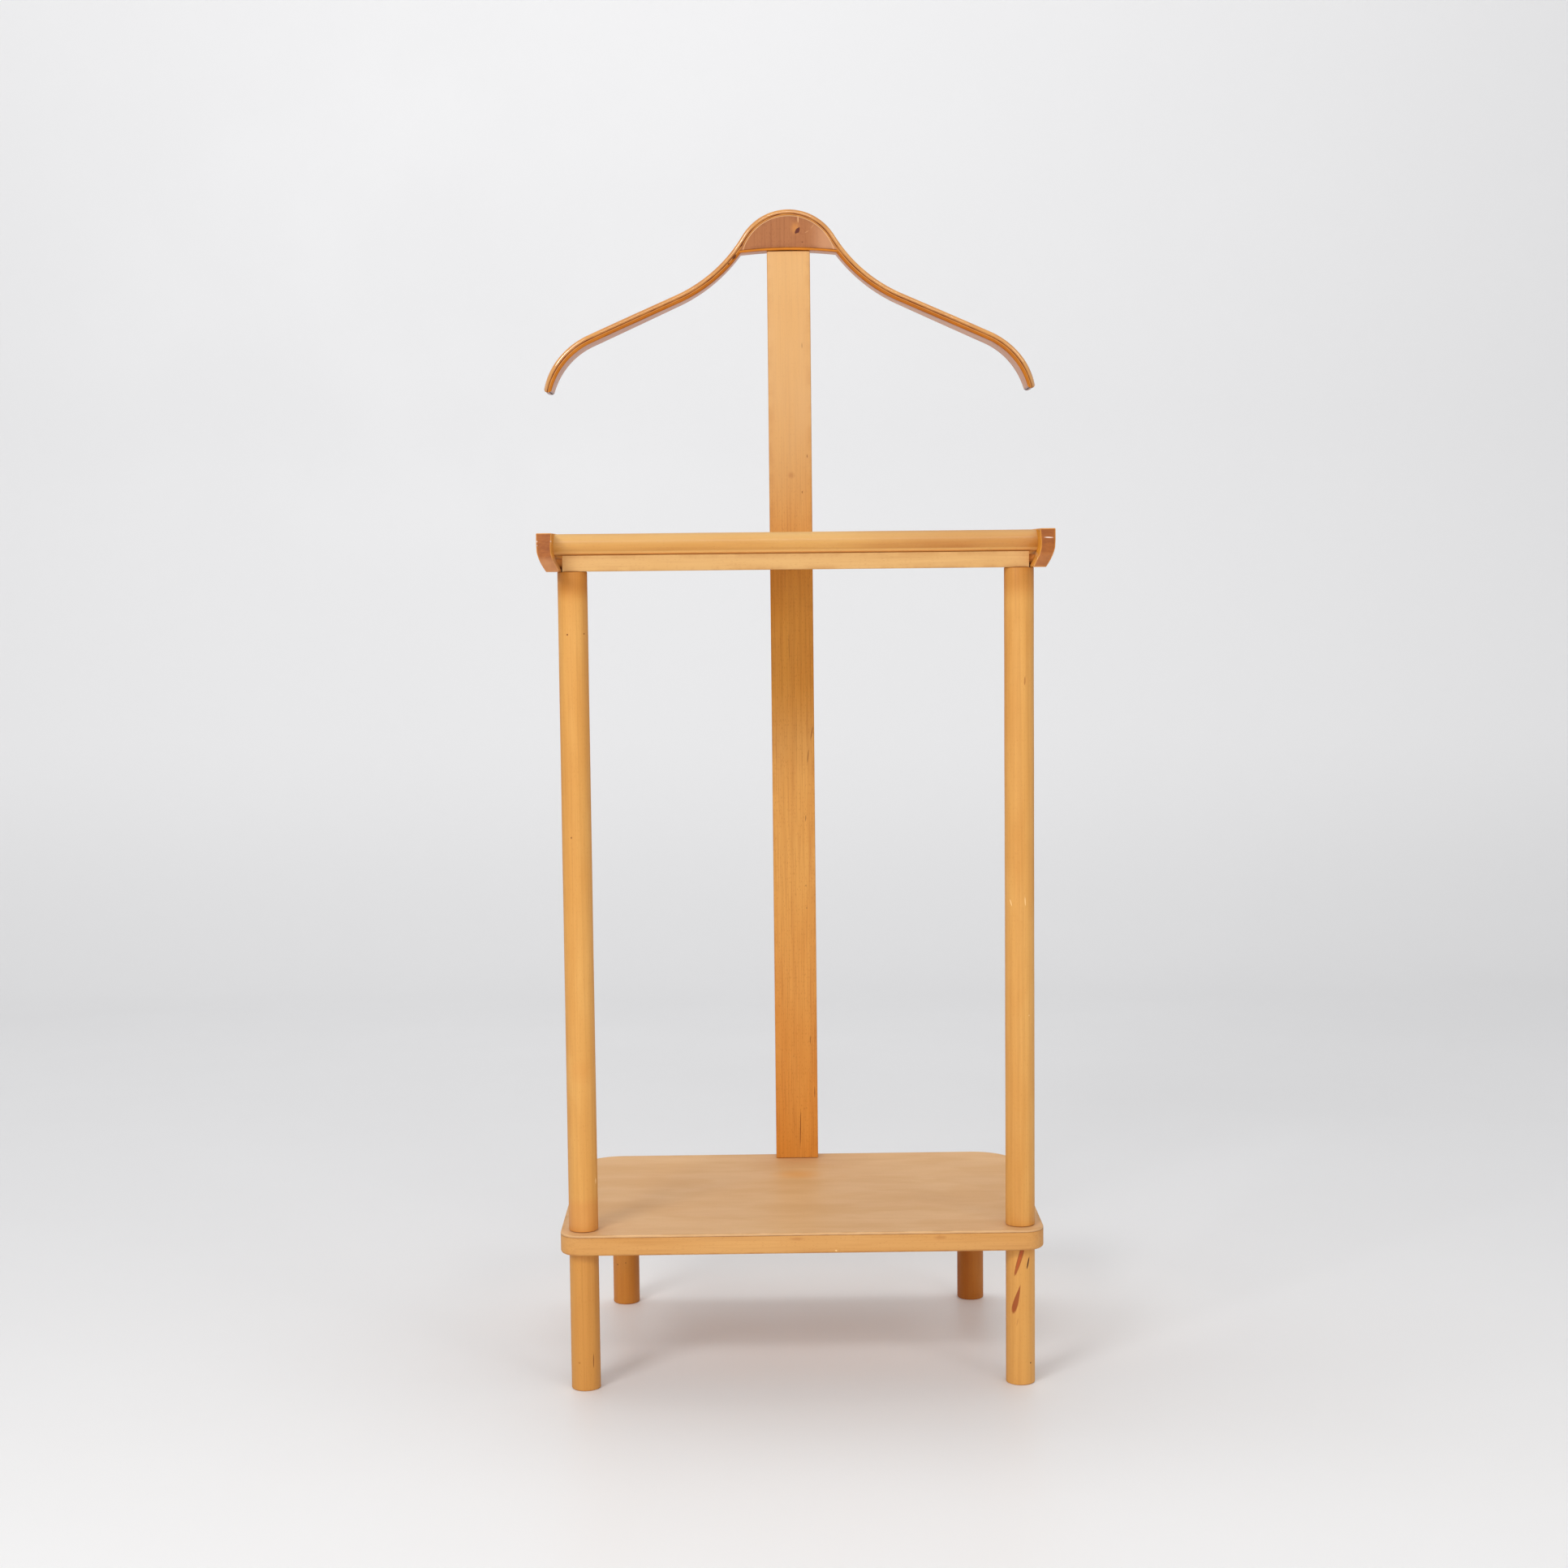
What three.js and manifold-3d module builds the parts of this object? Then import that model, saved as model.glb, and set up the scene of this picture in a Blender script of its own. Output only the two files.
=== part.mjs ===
// Valet stand in lacquered beech: a shoe shelf on four round legs, two round front posts, a flat back
// upright, a shallow tray with flared sides and a round trouser bar, and a laminated coat hanger on top.
// Units are millimetres and +Z is up. The front faces -Y, and the origin is on the floor at the middle
// of the stand's plan.

import * as THREE from 'three';
import { mergeVertices } from 'three/addons/utils/BufferGeometryUtils.js';
import Module from 'manifold-3d';

const wasm = await Module();
wasm.setup();

// Driving dimensions. Depths are measured backwards from the axis of the front posts.
const GAP = 0.3;
const ROUND_SIDES = 32;
const SMALL_SIDES = 16;

const DOWEL_DIAMETER = 25;
const FRONT_POST_X = 188;
const BACK_LEG_X = 166;
const BACK_LEG_Y = 254;
const FOOT_CHAMFER = 1;

const SHELF_WIDTH = 415;
const SHELF_FRONT_Y = -21.5;
const SHELF_BACK_Y = 268.5;
const SHELF_UNDERSIDE = 121;
const SHELF_TOP = 139;
const SHELF_SHEET = 2;
const SHELF_FRONT_RADIUS = 18;
const SHELF_BACK_RADIUS = 40;
const EDGING_WIDTH = 25;

const UPRIGHT_WIDTH = 40;
const UPRIGHT_THICKNESS = 18;
const UPRIGHT_EASING = 1.2;

const TRAY_UNDERSIDE = 703;
const TRAY_TOP = 735;
const TRAY_WIDTH = 430;
const TRAY_FRONT_Y = -35;
const ARM_THICKNESS = 13;
const ARM_FLARE = 8;
const ARM_FOOT_WIDTH = 11;
const ARM_STRAIGHT_HEIGHT = 15;
const ARM_BEND_DROP = 6.5;
const ARM_BEND_INSET = 0.4;
const ARM_INNER_BEND_DROP = 5;
const RAIL_DEPTH = 20;
const FRONT_RAIL_HEIGHT = 13.2;
const TRAY_PANEL_THICKNESS = 6;
const TRAY_PANEL_UNDERSIDE = 706;
const GROOVE_DEPTH = 6;
const BAR_DIAMETER = 18;
const BAR_Y = -3;
const BAR_HOUSING = 6;

const HANGER_TOP = 1036;
const HUMP_RADIUS = 50.4;
const HUMP_ANGLE = 57;
const NECK_LENGTH = 4.5;
const SWEEP_RADIUS = 140;
const ARM_SLOPE = 24;
const ARM_LENGTH = 90;
const SHOULDER_RADIUS = 76;
const TIP_SLOPE = 76;
const UPPER_LAMELLA = 3.6;
const INNER_LAMELLA = 1.6;
const LOWER_LAMELLA = 2.2;
const RIM_TOP = 1000.8;
const RIM_THICKNESS = 2.3;
const RIM_RADIUS = 405;
const WAIST_HALF_DEPTH = 11.5;
const SHOULDER_HALF_DEPTH = 21;
const FLARE_START = 30;
const FLARE_END = 190;
const TIP_CORNER_RADIUS = 14;
const TIP_CLEARANCE = 0.01;

const PIN_DIAMETER = 8;
const PIN_BEVEL = 0.8;
const BOLT_DIAMETER = 8;
const BOLT_REACH = 30;
const BORE_SLACK = 1;
const INSERT_DIAMETER = 12;
const INSERT_HEIGHT = 12;
const SCREW_SHANK = 4;
const SCREW_HEAD = 8;
const SCREW_POINT_LENGTH = 5;
const SCREW_POINT_RADIUS = 0.3;
const HEAD_RIM = 0.3;
const HEAD_CONE = 2.4;

// Sizes that follow from the driving dimensions.
const SHELF_SHEET_BOTTOM = SHELF_TOP - SHELF_SHEET;
const SHELF_BODY_TOP = SHELF_SHEET_BOTTOM - GAP;
const UPRIGHT_FRONT_Y = SHELF_BACK_Y - UPRIGHT_THICKNESS;
const UPRIGHT_MIDDLE_Y = SHELF_BACK_Y - UPRIGHT_THICKNESS / 2;
const UPRIGHT_TOP = archZ(UPRIGHT_WIDTH / 2, RIM_TOP - RIM_THICKNESS) - GAP;
const TRAY_BACK_Y = UPRIGHT_FRONT_Y - GAP;
const BACK_RAIL_Y = TRAY_BACK_Y - RAIL_DEPTH / 2;
const ARM_INNER_X = TRAY_WIDTH / 2 - ARM_THICKNESS;
const ARM_FOOT_INNER_X = TRAY_WIDTH / 2 - ARM_FLARE - ARM_FOOT_WIDTH;
const FRONT_RAIL_TOP = TRAY_UNDERSIDE + FRONT_RAIL_HEIGHT;
const BAR_Z = FRONT_RAIL_TOP + GAP + BAR_DIAMETER / 2;
const ARM_OUTER_BEND_Z = TRAY_TOP - ARM_STRAIGHT_HEIGHT;
const ARM_INNER_BEND_Z = ARM_OUTER_BEND_Z - ARM_INNER_BEND_DROP;
const HOLE_CLEARANCE = 2 * GAP;
const LAMINATE = UPPER_LAMELLA + INNER_LAMELLA + LOWER_LAMELLA + 2 * GAP;
const STAND_MIDDLE_Y = (TRAY_FRONT_Y + UPRIGHT_MIDDLE_Y + SHOULDER_HALF_DEPTH) / 2;

const WOOD = {
  honey: { color: 0xd9a058, roughness: 0.42 },
  light: { color: 0xe6b97a, roughness: 0.45 },
  sheet: { color: 0xd0a773, roughness: 0.4 },
  reddish: { color: 0xb8734a, roughness: 0.35 },
  amber: { color: 0xd08a3c, roughness: 0.3 },
  plain: { color: 0xd8b88c, roughness: 0.7 },
};
const STEEL = { color: 0xb9b6ae, roughness: 0.35, metalness: 1 };

const valetStand = new THREE.Group();
valetStand.name = 'valet_stand';
valetStand.position.y = -STAND_MIDDLE_Y;

function addPiece(name, geometry, finish) {
  const material = new THREE.MeshStandardMaterial({ metalness: 0, ...finish });
  const mesh = new THREE.Mesh(geometry, material);
  mesh.name = name;
  valetStand.add(mesh);
  return mesh;
}

// Booleans.

function toSolid(geometry) {
  const bare = geometry.clone();
  bare.deleteAttribute('normal');
  bare.deleteAttribute('uv');
  const merged = mergeVertices(bare, 1e-4);
  const vertProperties = new Float32Array(merged.attributes.position.array);
  const triVerts = new Uint32Array(merged.index.array);
  return new wasm.Manifold(new wasm.Mesh({ numProp: 3, vertProperties, triVerts }));
}

function toGeometry(solid) {
  const mesh = solid.getMesh();
  const geometry = new THREE.BufferGeometry();
  geometry.setAttribute('position', new THREE.BufferAttribute(new Float32Array(mesh.vertProperties), 3));
  geometry.setIndex(new THREE.BufferAttribute(new Uint32Array(mesh.triVerts), 1));
  geometry.computeVertexNormals();
  return geometry;
}

function cut(geometry, cutters) {
  const solid = cutters.reduce((left, cutter) => left.subtract(toSolid(cutter)), toSolid(geometry));
  return toGeometry(solid);
}

function common(first, second) {
  return toGeometry(toSolid(first).intersect(toSolid(second)));
}

// Basic solids, each made where it belongs.

function extrude(shape, depth, curveSegments = 12) {
  return new THREE.ExtrudeGeometry(shape, { depth, bevelEnabled: false, curveSegments });
}

// A plan outline in X and Y, standing between two heights.
function slab(shape, bottom, top, curveSegments = 12) {
  return extrude(shape, top - bottom, curveSegments).translate(0, 0, bottom);
}

// A front outline in X and Z, running from one depth to another.
function frontPrism(shape, startY, endY, curveSegments = 12) {
  return extrude(shape, endY - startY, curveSegments).rotateX(Math.PI / 2).translate(0, endY, 0);
}

function block(startX, endX, startY, endY, bottom, top) {
  const box = new THREE.BoxGeometry(endX - startX, endY - startY, top - bottom);
  return box.translate((startX + endX) / 2, (startY + endY) / 2, (bottom + top) / 2);
}

function turned(profile, sides = ROUND_SIDES) {
  const points = profile.map(([radius, height]) => new THREE.Vector2(radius, height));
  return new THREE.LatheGeometry(points, sides).rotateX(Math.PI / 2);
}

function uprightRod(diameter, x, y, bottom, top, sides = SMALL_SIDES) {
  const rod = new THREE.CylinderGeometry(diameter / 2, diameter / 2, top - bottom, sides);
  return rod.rotateX(Math.PI / 2).translate(x, y, (bottom + top) / 2);
}

function crossRod(diameter, startX, endX, y, z, sides = SMALL_SIDES) {
  const rod = new THREE.CylinderGeometry(diameter / 2, diameter / 2, endX - startX, sides);
  return rod.rotateZ(Math.PI / 2).translate((startX + endX) / 2, y, z);
}

// A pin with its ends chamfered, standing on its lower end.
function pin(diameter, length) {
  const radius = diameter / 2;
  const profile = [
    [0, 0],
    [radius - PIN_BEVEL, 0],
    [radius, PIN_BEVEL],
    [radius, length - PIN_BEVEL],
    [radius - PIN_BEVEL, length],
    [0, length],
  ];
  return turned(profile, SMALL_SIDES);
}

// A countersunk wood screw pointing up, with the flat of its head at zero.
function screw(length) {
  const profile = [
    [0, 0],
    [SCREW_HEAD / 2, 0],
    [SCREW_HEAD / 2, HEAD_RIM],
    [SCREW_SHANK / 2, HEAD_CONE],
    [SCREW_SHANK / 2, length - SCREW_POINT_LENGTH],
    [SCREW_POINT_RADIUS, length],
    [0, length],
  ];
  return turned(profile, SMALL_SIDES);
}

// The hole that the screw leaves, pointing up from the flat of its head.
function screwHole(length) {
  const profile = [
    [0, -BORE_SLACK],
    [SCREW_HEAD / 2 + GAP, -BORE_SLACK],
    [SCREW_HEAD / 2 + GAP, HEAD_RIM + GAP],
    [SCREW_SHANK / 2 + GAP, HEAD_CONE + 2 * GAP],
    [SCREW_SHANK / 2 + GAP, length + GAP],
    [0, length + GAP],
  ];
  return turned(profile, SMALL_SIDES);
}

function clamp01(value) {
  return Math.min(1, Math.max(0, value));
}

const SIDES = [
  { side: 'left', sign: -1 },
  { side: 'right', sign: 1 },
];

// Hidden fasteners, and the holes that they sit in.

const FRONT_BOLT = { bottom: SHELF_UNDERSIDE - BOLT_REACH, top: SHELF_TOP + BOLT_REACH };
const BACK_BOLT = {
  bottom: SHELF_UNDERSIDE - BOLT_REACH,
  top: SHELF_UNDERSIDE + INSERT_HEIGHT - BORE_SLACK,
};
const POST_PIN = { bottom: TRAY_UNDERSIDE - 16, top: TRAY_UNDERSIDE + 9 };
const FOOT_PIN = { bottom: SHELF_TOP - 13, top: SHELF_TOP + 20 };
const FOOT_PIN_X = 12;
const FOOT_SCREW_LENGTH = 50;
const HANGER_PIN = { bottom: UPRIGHT_TOP - 25, top: UPRIGHT_TOP + 20 };
const HANGER_PIN_X = 11;
const RAIL_PIN_REACH = 7;
const FRONT_RAIL_PIN_LENGTH = 14;
const BACK_RAIL_PIN_LENGTH = 28;
const FRONT_RAIL_PIN_Z = TRAY_UNDERSIDE + 7;
const BACK_RAIL_PIN_Z = TRAY_UNDERSIDE + 20;
const TRAY_SCREW_LENGTH = 34;
const TRAY_SCREW_HEIGHTS = { lower: TRAY_UNDERSIDE + 15, upper: TRAY_UNDERSIDE + 26 };

function hole(diameter, x, y, span) {
  return uprightRod(diameter + HOLE_CLEARANCE, x, y, span.bottom - BORE_SLACK, span.top + BORE_SLACK);
}

function frontBoltHoles() {
  return SIDES.map(({ sign }) => hole(BOLT_DIAMETER, sign * FRONT_POST_X, 0, FRONT_BOLT));
}

function insertHoles() {
  const span = { bottom: SHELF_UNDERSIDE - BORE_SLACK, top: SHELF_UNDERSIDE + INSERT_HEIGHT };
  return SIDES.map(({ sign }) => hole(INSERT_DIAMETER, sign * BACK_LEG_X, BACK_LEG_Y, span));
}

function footPinHoles() {
  return SIDES.map(({ sign }) => hole(PIN_DIAMETER, sign * FOOT_PIN_X, UPRIGHT_MIDDLE_Y, FOOT_PIN));
}

function footScrewHole() {
  return screwHole(FOOT_SCREW_LENGTH).translate(0, UPRIGHT_MIDDLE_Y, SHELF_UNDERSIDE);
}

function hangerPinHoles() {
  return SIDES.map(({ sign }) => hole(PIN_DIAMETER, sign * HANGER_PIN_X, UPRIGHT_MIDDLE_Y, HANGER_PIN));
}

function postPinHoles() {
  return SIDES.map(({ sign }) => hole(PIN_DIAMETER, sign * FRONT_POST_X, 0, POST_PIN));
}

function railPinSpan(sign, faceX, length) {
  const outer = faceX + RAIL_PIN_REACH;
  const inner = outer - length;
  return sign > 0 ? [inner, outer] : [-outer, -inner];
}

function railPinHoles(y, z, faceX, length) {
  return SIDES.map(({ sign }) => {
    const [start, end] = railPinSpan(sign, faceX, length);
    return crossRod(PIN_DIAMETER + HOLE_CLEARANCE, start - GAP, end + GAP, y, z);
  });
}

function frontRailPinHoles() {
  const faceX = armInnerX(FRONT_RAIL_PIN_Z);
  return railPinHoles(0, FRONT_RAIL_PIN_Z, faceX, FRONT_RAIL_PIN_LENGTH);
}

function backRailPinHoles() {
  return railPinHoles(BACK_RAIL_Y, BACK_RAIL_PIN_Z, ARM_INNER_X, BACK_RAIL_PIN_LENGTH);
}

function trayScrews(make) {
  return Object.values(TRAY_SCREW_HEIGHTS).map((height) => {
    return make(TRAY_SCREW_LENGTH).rotateX(Math.PI / 2).translate(0, SHELF_BACK_Y, height);
  });
}

// Inner faces of the tray arms, from their feet up.
function armInnerX(z) {
  const share = clamp01((z - TRAY_UNDERSIDE) / (ARM_INNER_BEND_Z - TRAY_UNDERSIDE));
  return ARM_FOOT_INNER_X + (ARM_INNER_X - ARM_FOOT_INNER_X) * share;
}

// Shelf: a core panel in a mitred frame of solid edging, faced with one sheet.

function shelfOutline(inset) {
  const half = SHELF_WIDTH / 2 - inset;
  const front = SHELF_FRONT_Y + inset;
  const back = SHELF_BACK_Y - inset;
  const frontRadius = SHELF_FRONT_RADIUS;
  const backRadius = SHELF_BACK_RADIUS;
  const shape = new THREE.Shape();
  shape.moveTo(-half + frontRadius, front);
  shape.lineTo(half - frontRadius, front);
  shape.absarc(half - frontRadius, front + frontRadius, frontRadius, -Math.PI / 2, 0, false);
  shape.lineTo(half, back - backRadius);
  shape.absarc(half - backRadius, back - backRadius, backRadius, 0, Math.PI / 2, false);
  shape.lineTo(-half + backRadius, back);
  shape.absarc(-half + backRadius, back - backRadius, backRadius, Math.PI / 2, Math.PI, false);
  shape.lineTo(-half, front + frontRadius);
  shape.absarc(-half + frontRadius, front + frontRadius, frontRadius, Math.PI, 1.5 * Math.PI, false);
  return shape;
}

function polygon(points) {
  const shape = new THREE.Shape();
  points.forEach(([x, y], index) => (index ? shape.lineTo(x, y) : shape.moveTo(x, y)));
  shape.closePath();
  return shape;
}

// A mitred member of the shelf frame: the outline cut by a trapezium with 45 degree ends.
function edging(corners) {
  const outline = slab(shelfOutline(0), SHELF_UNDERSIDE, SHELF_BODY_TOP, 10);
  const member = slab(polygon(corners), SHELF_UNDERSIDE - BORE_SLACK, SHELF_BODY_TOP + BORE_SLACK);
  return common(outline, member);
}

function buildShelf() {
  const half = SHELF_WIDTH / 2;
  const mitreGap = GAP * Math.SQRT2 / 2;
  const inner = half - EDGING_WIDTH;
  const frontInner = SHELF_FRONT_Y + EDGING_WIDTH;
  const backInner = SHELF_BACK_Y - EDGING_WIDTH;

  const front = [
    [-half + mitreGap, SHELF_FRONT_Y],
    [half - mitreGap, SHELF_FRONT_Y],
    [inner - mitreGap, frontInner],
    [-inner + mitreGap, frontInner],
  ];
  const back = [
    [-inner + mitreGap, backInner],
    [inner - mitreGap, backInner],
    [half - mitreGap, SHELF_BACK_Y],
    [-half + mitreGap, SHELF_BACK_Y],
  ];
  const rightSide = [
    [inner, frontInner + mitreGap],
    [half, SHELF_FRONT_Y + mitreGap],
    [half, SHELF_BACK_Y - mitreGap],
    [inner, backInner - mitreGap],
  ];
  const leftSide = rightSide.map(([x, y]) => [-x, y]).reverse();

  const backHoles = [...insertHoles(), ...footPinHoles(), footScrewHole()];
  const topHoles = [...frontBoltHoles(), ...footPinHoles(), footScrewHole()];
  addPiece('shelf_front_edging', cut(edging(front), frontBoltHoles()), WOOD.light);
  addPiece('shelf_back_edging', cut(edging(back), backHoles), WOOD.light);
  addPiece('shelf_left_edging', cut(edging(leftSide), frontBoltHoles()), WOOD.light);
  addPiece('shelf_right_edging', cut(edging(rightSide), frontBoltHoles()), WOOD.light);

  const core = block(
    -inner + GAP,
    inner - GAP,
    frontInner + GAP,
    backInner - GAP,
    SHELF_UNDERSIDE,
    SHELF_BODY_TOP
  );
  addPiece('shelf_core_panel', core, WOOD.plain);
  const sheet = slab(shelfOutline(0), SHELF_SHEET_BOTTOM, SHELF_TOP, 10);
  addPiece('shelf_top_sheet', cut(sheet, topHoles), WOOD.sheet);
}

// Legs and posts: one size of round stock, bored at the end for its bolt.

function leg() {
  const radius = DOWEL_DIAMETER / 2;
  const bore = (BOLT_DIAMETER + HOLE_CLEARANCE) / 2;
  const top = SHELF_UNDERSIDE - GAP;
  const boreBottom = SHELF_UNDERSIDE - BOLT_REACH - BORE_SLACK;
  const profile = [
    [0, 0],
    [radius - FOOT_CHAMFER, 0],
    [radius, FOOT_CHAMFER],
    [radius, top],
    [bore, top],
    [bore, boreBottom],
    [0, boreBottom],
  ];
  return turned(profile);
}

function frontPost() {
  const radius = DOWEL_DIAMETER / 2;
  const bottom = SHELF_TOP + GAP;
  const top = TRAY_UNDERSIDE - GAP;
  const lowerBore = (BOLT_DIAMETER + HOLE_CLEARANCE) / 2;
  const upperBore = (PIN_DIAMETER + HOLE_CLEARANCE) / 2;
  const lowerBoreTop = FRONT_BOLT.top + BORE_SLACK;
  const upperBoreBottom = POST_PIN.bottom - BORE_SLACK;
  const profile = [
    [0, lowerBoreTop],
    [lowerBore, lowerBoreTop],
    [lowerBore, bottom],
    [radius, bottom],
    [radius, top],
    [upperBore, top],
    [upperBore, upperBoreBottom],
    [0, upperBoreBottom],
  ];
  return turned(profile);
}

function buildLegsAndPosts() {
  const frontBolt = pin(BOLT_DIAMETER, FRONT_BOLT.top - FRONT_BOLT.bottom);
  const backBolt = pin(BOLT_DIAMETER, BACK_BOLT.top - BACK_BOLT.bottom);
  const insertRadius = INSERT_DIAMETER / 2;
  const insertBore = BOLT_DIAMETER / 2 + GAP;
  const insert = [
    [insertBore, 0],
    [insertRadius, 0],
    [insertRadius, INSERT_HEIGHT],
    [insertBore, INSERT_HEIGHT],
    [insertBore, 0],
  ];
  for (const { side, sign } of SIDES) {
    const frontX = sign * FRONT_POST_X;
    const backX = sign * BACK_LEG_X;
    addPiece(`front_leg_${side}`, leg(), WOOD.honey).position.set(frontX, 0, 0);
    addPiece(`back_leg_${side}`, leg(), WOOD.honey).position.set(backX, BACK_LEG_Y, 0);
    addPiece(`front_post_${side}`, frontPost(), WOOD.honey).position.set(frontX, 0, 0);
    const longBolt = addPiece(`front_leg_bolt_${side}`, frontBolt.clone(), STEEL);
    longBolt.position.set(frontX, 0, FRONT_BOLT.bottom);
    const shortBolt = addPiece(`back_leg_bolt_${side}`, backBolt.clone(), STEEL);
    shortBolt.position.set(backX, BACK_LEG_Y, BACK_BOLT.bottom);
    const nut = addPiece(`back_leg_insert_${side}`, turned(insert, SMALL_SIDES), STEEL);
    nut.position.set(backX, BACK_LEG_Y, SHELF_UNDERSIDE);
  }
}

// Back upright: a flat board, pinned to the shelf below and to the hanger above.

function uprightOutline() {
  const half = UPRIGHT_WIDTH / 2;
  const ease = UPRIGHT_EASING;
  const right = [
    [half - ease, UPRIGHT_FRONT_Y],
    [half, UPRIGHT_FRONT_Y + ease],
    [half, SHELF_BACK_Y - ease],
    [half - ease, SHELF_BACK_Y],
  ];
  return polygon([...right, ...right.map(([x, y]) => [-x, y]).reverse()]);
}

function buildUpright() {
  const board = slab(uprightOutline(), SHELF_TOP + GAP, UPRIGHT_TOP);
  const holes = [
    ...footPinHoles(),
    footScrewHole(),
    ...hangerPinHoles(),
    ...trayScrews(screwHole),
  ];
  addPiece('back_upright', cut(board, holes), WOOD.honey);

  const footPinLength = FOOT_PIN.top - FOOT_PIN.bottom;
  for (const { side, sign } of SIDES) {
    const footPin = addPiece(`upright_foot_pin_${side}`, pin(PIN_DIAMETER, footPinLength), WOOD.plain);
    footPin.position.set(sign * FOOT_PIN_X, UPRIGHT_MIDDLE_Y, FOOT_PIN.bottom);
  }
  const footScrew = addPiece('upright_foot_screw', screw(FOOT_SCREW_LENGTH), STEEL);
  footScrew.position.set(0, UPRIGHT_MIDDLE_Y, SHELF_UNDERSIDE);
  for (const [place, height] of Object.entries(TRAY_SCREW_HEIGHTS)) {
    const trayScrew = addPiece(`upright_tray_screw_${place}`, screw(TRAY_SCREW_LENGTH), STEEL);
    trayScrew.rotation.x = Math.PI / 2;
    trayScrew.position.set(0, SHELF_BACK_Y, height);
  }
}

// Tray: two flared side arms, a round trouser bar over the front rail, a back rail and a thin panel.

function armShape(sign) {
  const outer = TRAY_WIDTH / 2;
  const footOuter = outer - ARM_FLARE;
  const bendX = outer - ARM_BEND_INSET;
  const bendZ = ARM_OUTER_BEND_Z - ARM_BEND_DROP;
  const shape = new THREE.Shape();
  shape.moveTo(sign * ARM_INNER_X, TRAY_TOP);
  shape.lineTo(sign * outer, TRAY_TOP);
  shape.lineTo(sign * outer, ARM_OUTER_BEND_Z);
  shape.quadraticCurveTo(sign * bendX, bendZ, sign * footOuter, TRAY_UNDERSIDE);
  shape.lineTo(sign * ARM_FOOT_INNER_X, TRAY_UNDERSIDE);
  shape.lineTo(sign * ARM_INNER_X, ARM_INNER_BEND_Z);
  shape.closePath();
  return shape;
}

function buildTrayArms() {
  const barHousing = SIDES.map(({ sign }) => {
    const mouth = ARM_INNER_X - BORE_SLACK;
    const seat = ARM_INNER_X + BAR_HOUSING + GAP;
    const [start, end] = sign > 0 ? [mouth, seat] : [-seat, -mouth];
    return crossRod(BAR_DIAMETER + HOLE_CLEARANCE, start, end, BAR_Y, BAR_Z, ROUND_SIDES);
  });
  const holes = [
    ...barHousing,
    ...frontRailPinHoles(),
    ...backRailPinHoles(),
  ];
  for (const { side, sign } of SIDES) {
    const arm = frontPrism(armShape(sign), TRAY_FRONT_Y, TRAY_BACK_Y, 8);
    addPiece(`tray_arm_${side}`, cut(arm, holes), WOOD.reddish);
  }
}

// Right-hand end of the front rail, which is cut square at the arms' feet.
function frontRailEnd() {
  const x = ARM_FOOT_INNER_X - GAP;
  return [
    [x, TRAY_UNDERSIDE],
    [x, FRONT_RAIL_TOP],
  ];
}

// Right-hand end of the back rail, which follows the arm's inner face.
function backRailEnd() {
  return [TRAY_UNDERSIDE, ARM_INNER_BEND_Z, TRAY_TOP].map((z) => [armInnerX(z) - GAP, z]);
}

// A rail between the arms, and the panel's groove along one of its sides.
function trayRail(rightEnd, startY, endY, grooveStartY) {
  const leftEnd = rightEnd.map(([x, z]) => [-x, z]).reverse();
  const rail = frontPrism(polygon([...rightEnd, ...leftEnd]), startY, endY);
  const groove = block(
    -TRAY_WIDTH / 2,
    TRAY_WIDTH / 2,
    grooveStartY,
    grooveStartY + GROOVE_DEPTH,
    TRAY_PANEL_UNDERSIDE - GAP,
    TRAY_PANEL_UNDERSIDE + TRAY_PANEL_THICKNESS + GAP
  );
  return { rail, groove };
}

function buildTrayRails() {
  const frontEndY = RAIL_DEPTH / 2;
  const front = trayRail(frontRailEnd(), -RAIL_DEPTH / 2, frontEndY, frontEndY - GROOVE_DEPTH);
  const frontHoles = [...postPinHoles(), ...frontRailPinHoles()];
  const backStartY = TRAY_BACK_Y - RAIL_DEPTH;
  const back = trayRail(backRailEnd(), backStartY, TRAY_BACK_Y, backStartY);
  const backHoles = [...trayScrews(screwHole), ...backRailPinHoles()];
  addPiece('tray_front_rail', cut(front.rail, [front.groove, ...frontHoles]), WOOD.light);
  addPiece('tray_back_rail', cut(back.rail, [back.groove, ...backHoles]), WOOD.light);
}

function buildTrayPanel() {
  const tongue = GROOVE_DEPTH - GAP;
  const startY = RAIL_DEPTH / 2 - tongue;
  const endY = TRAY_BACK_Y - RAIL_DEPTH + tongue;
  const top = TRAY_PANEL_UNDERSIDE + TRAY_PANEL_THICKNESS;
  const lowX = armInnerX(TRAY_PANEL_UNDERSIDE) - 2 * GAP;
  const highX = armInnerX(top) - 2 * GAP;
  const section = polygon([
    [-lowX, TRAY_PANEL_UNDERSIDE],
    [lowX, TRAY_PANEL_UNDERSIDE],
    [highX, top],
    [-highX, top],
  ]);
  addPiece('tray_bottom_panel', frontPrism(section, startY, endY), WOOD.sheet);
}

function buildTrouserBar() {
  const reach = ARM_INNER_X + BAR_HOUSING - GAP;
  addPiece('trouser_bar', crossRod(BAR_DIAMETER, -reach, reach, BAR_Y, BAR_Z, ROUND_SIDES), WOOD.honey);
}

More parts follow.
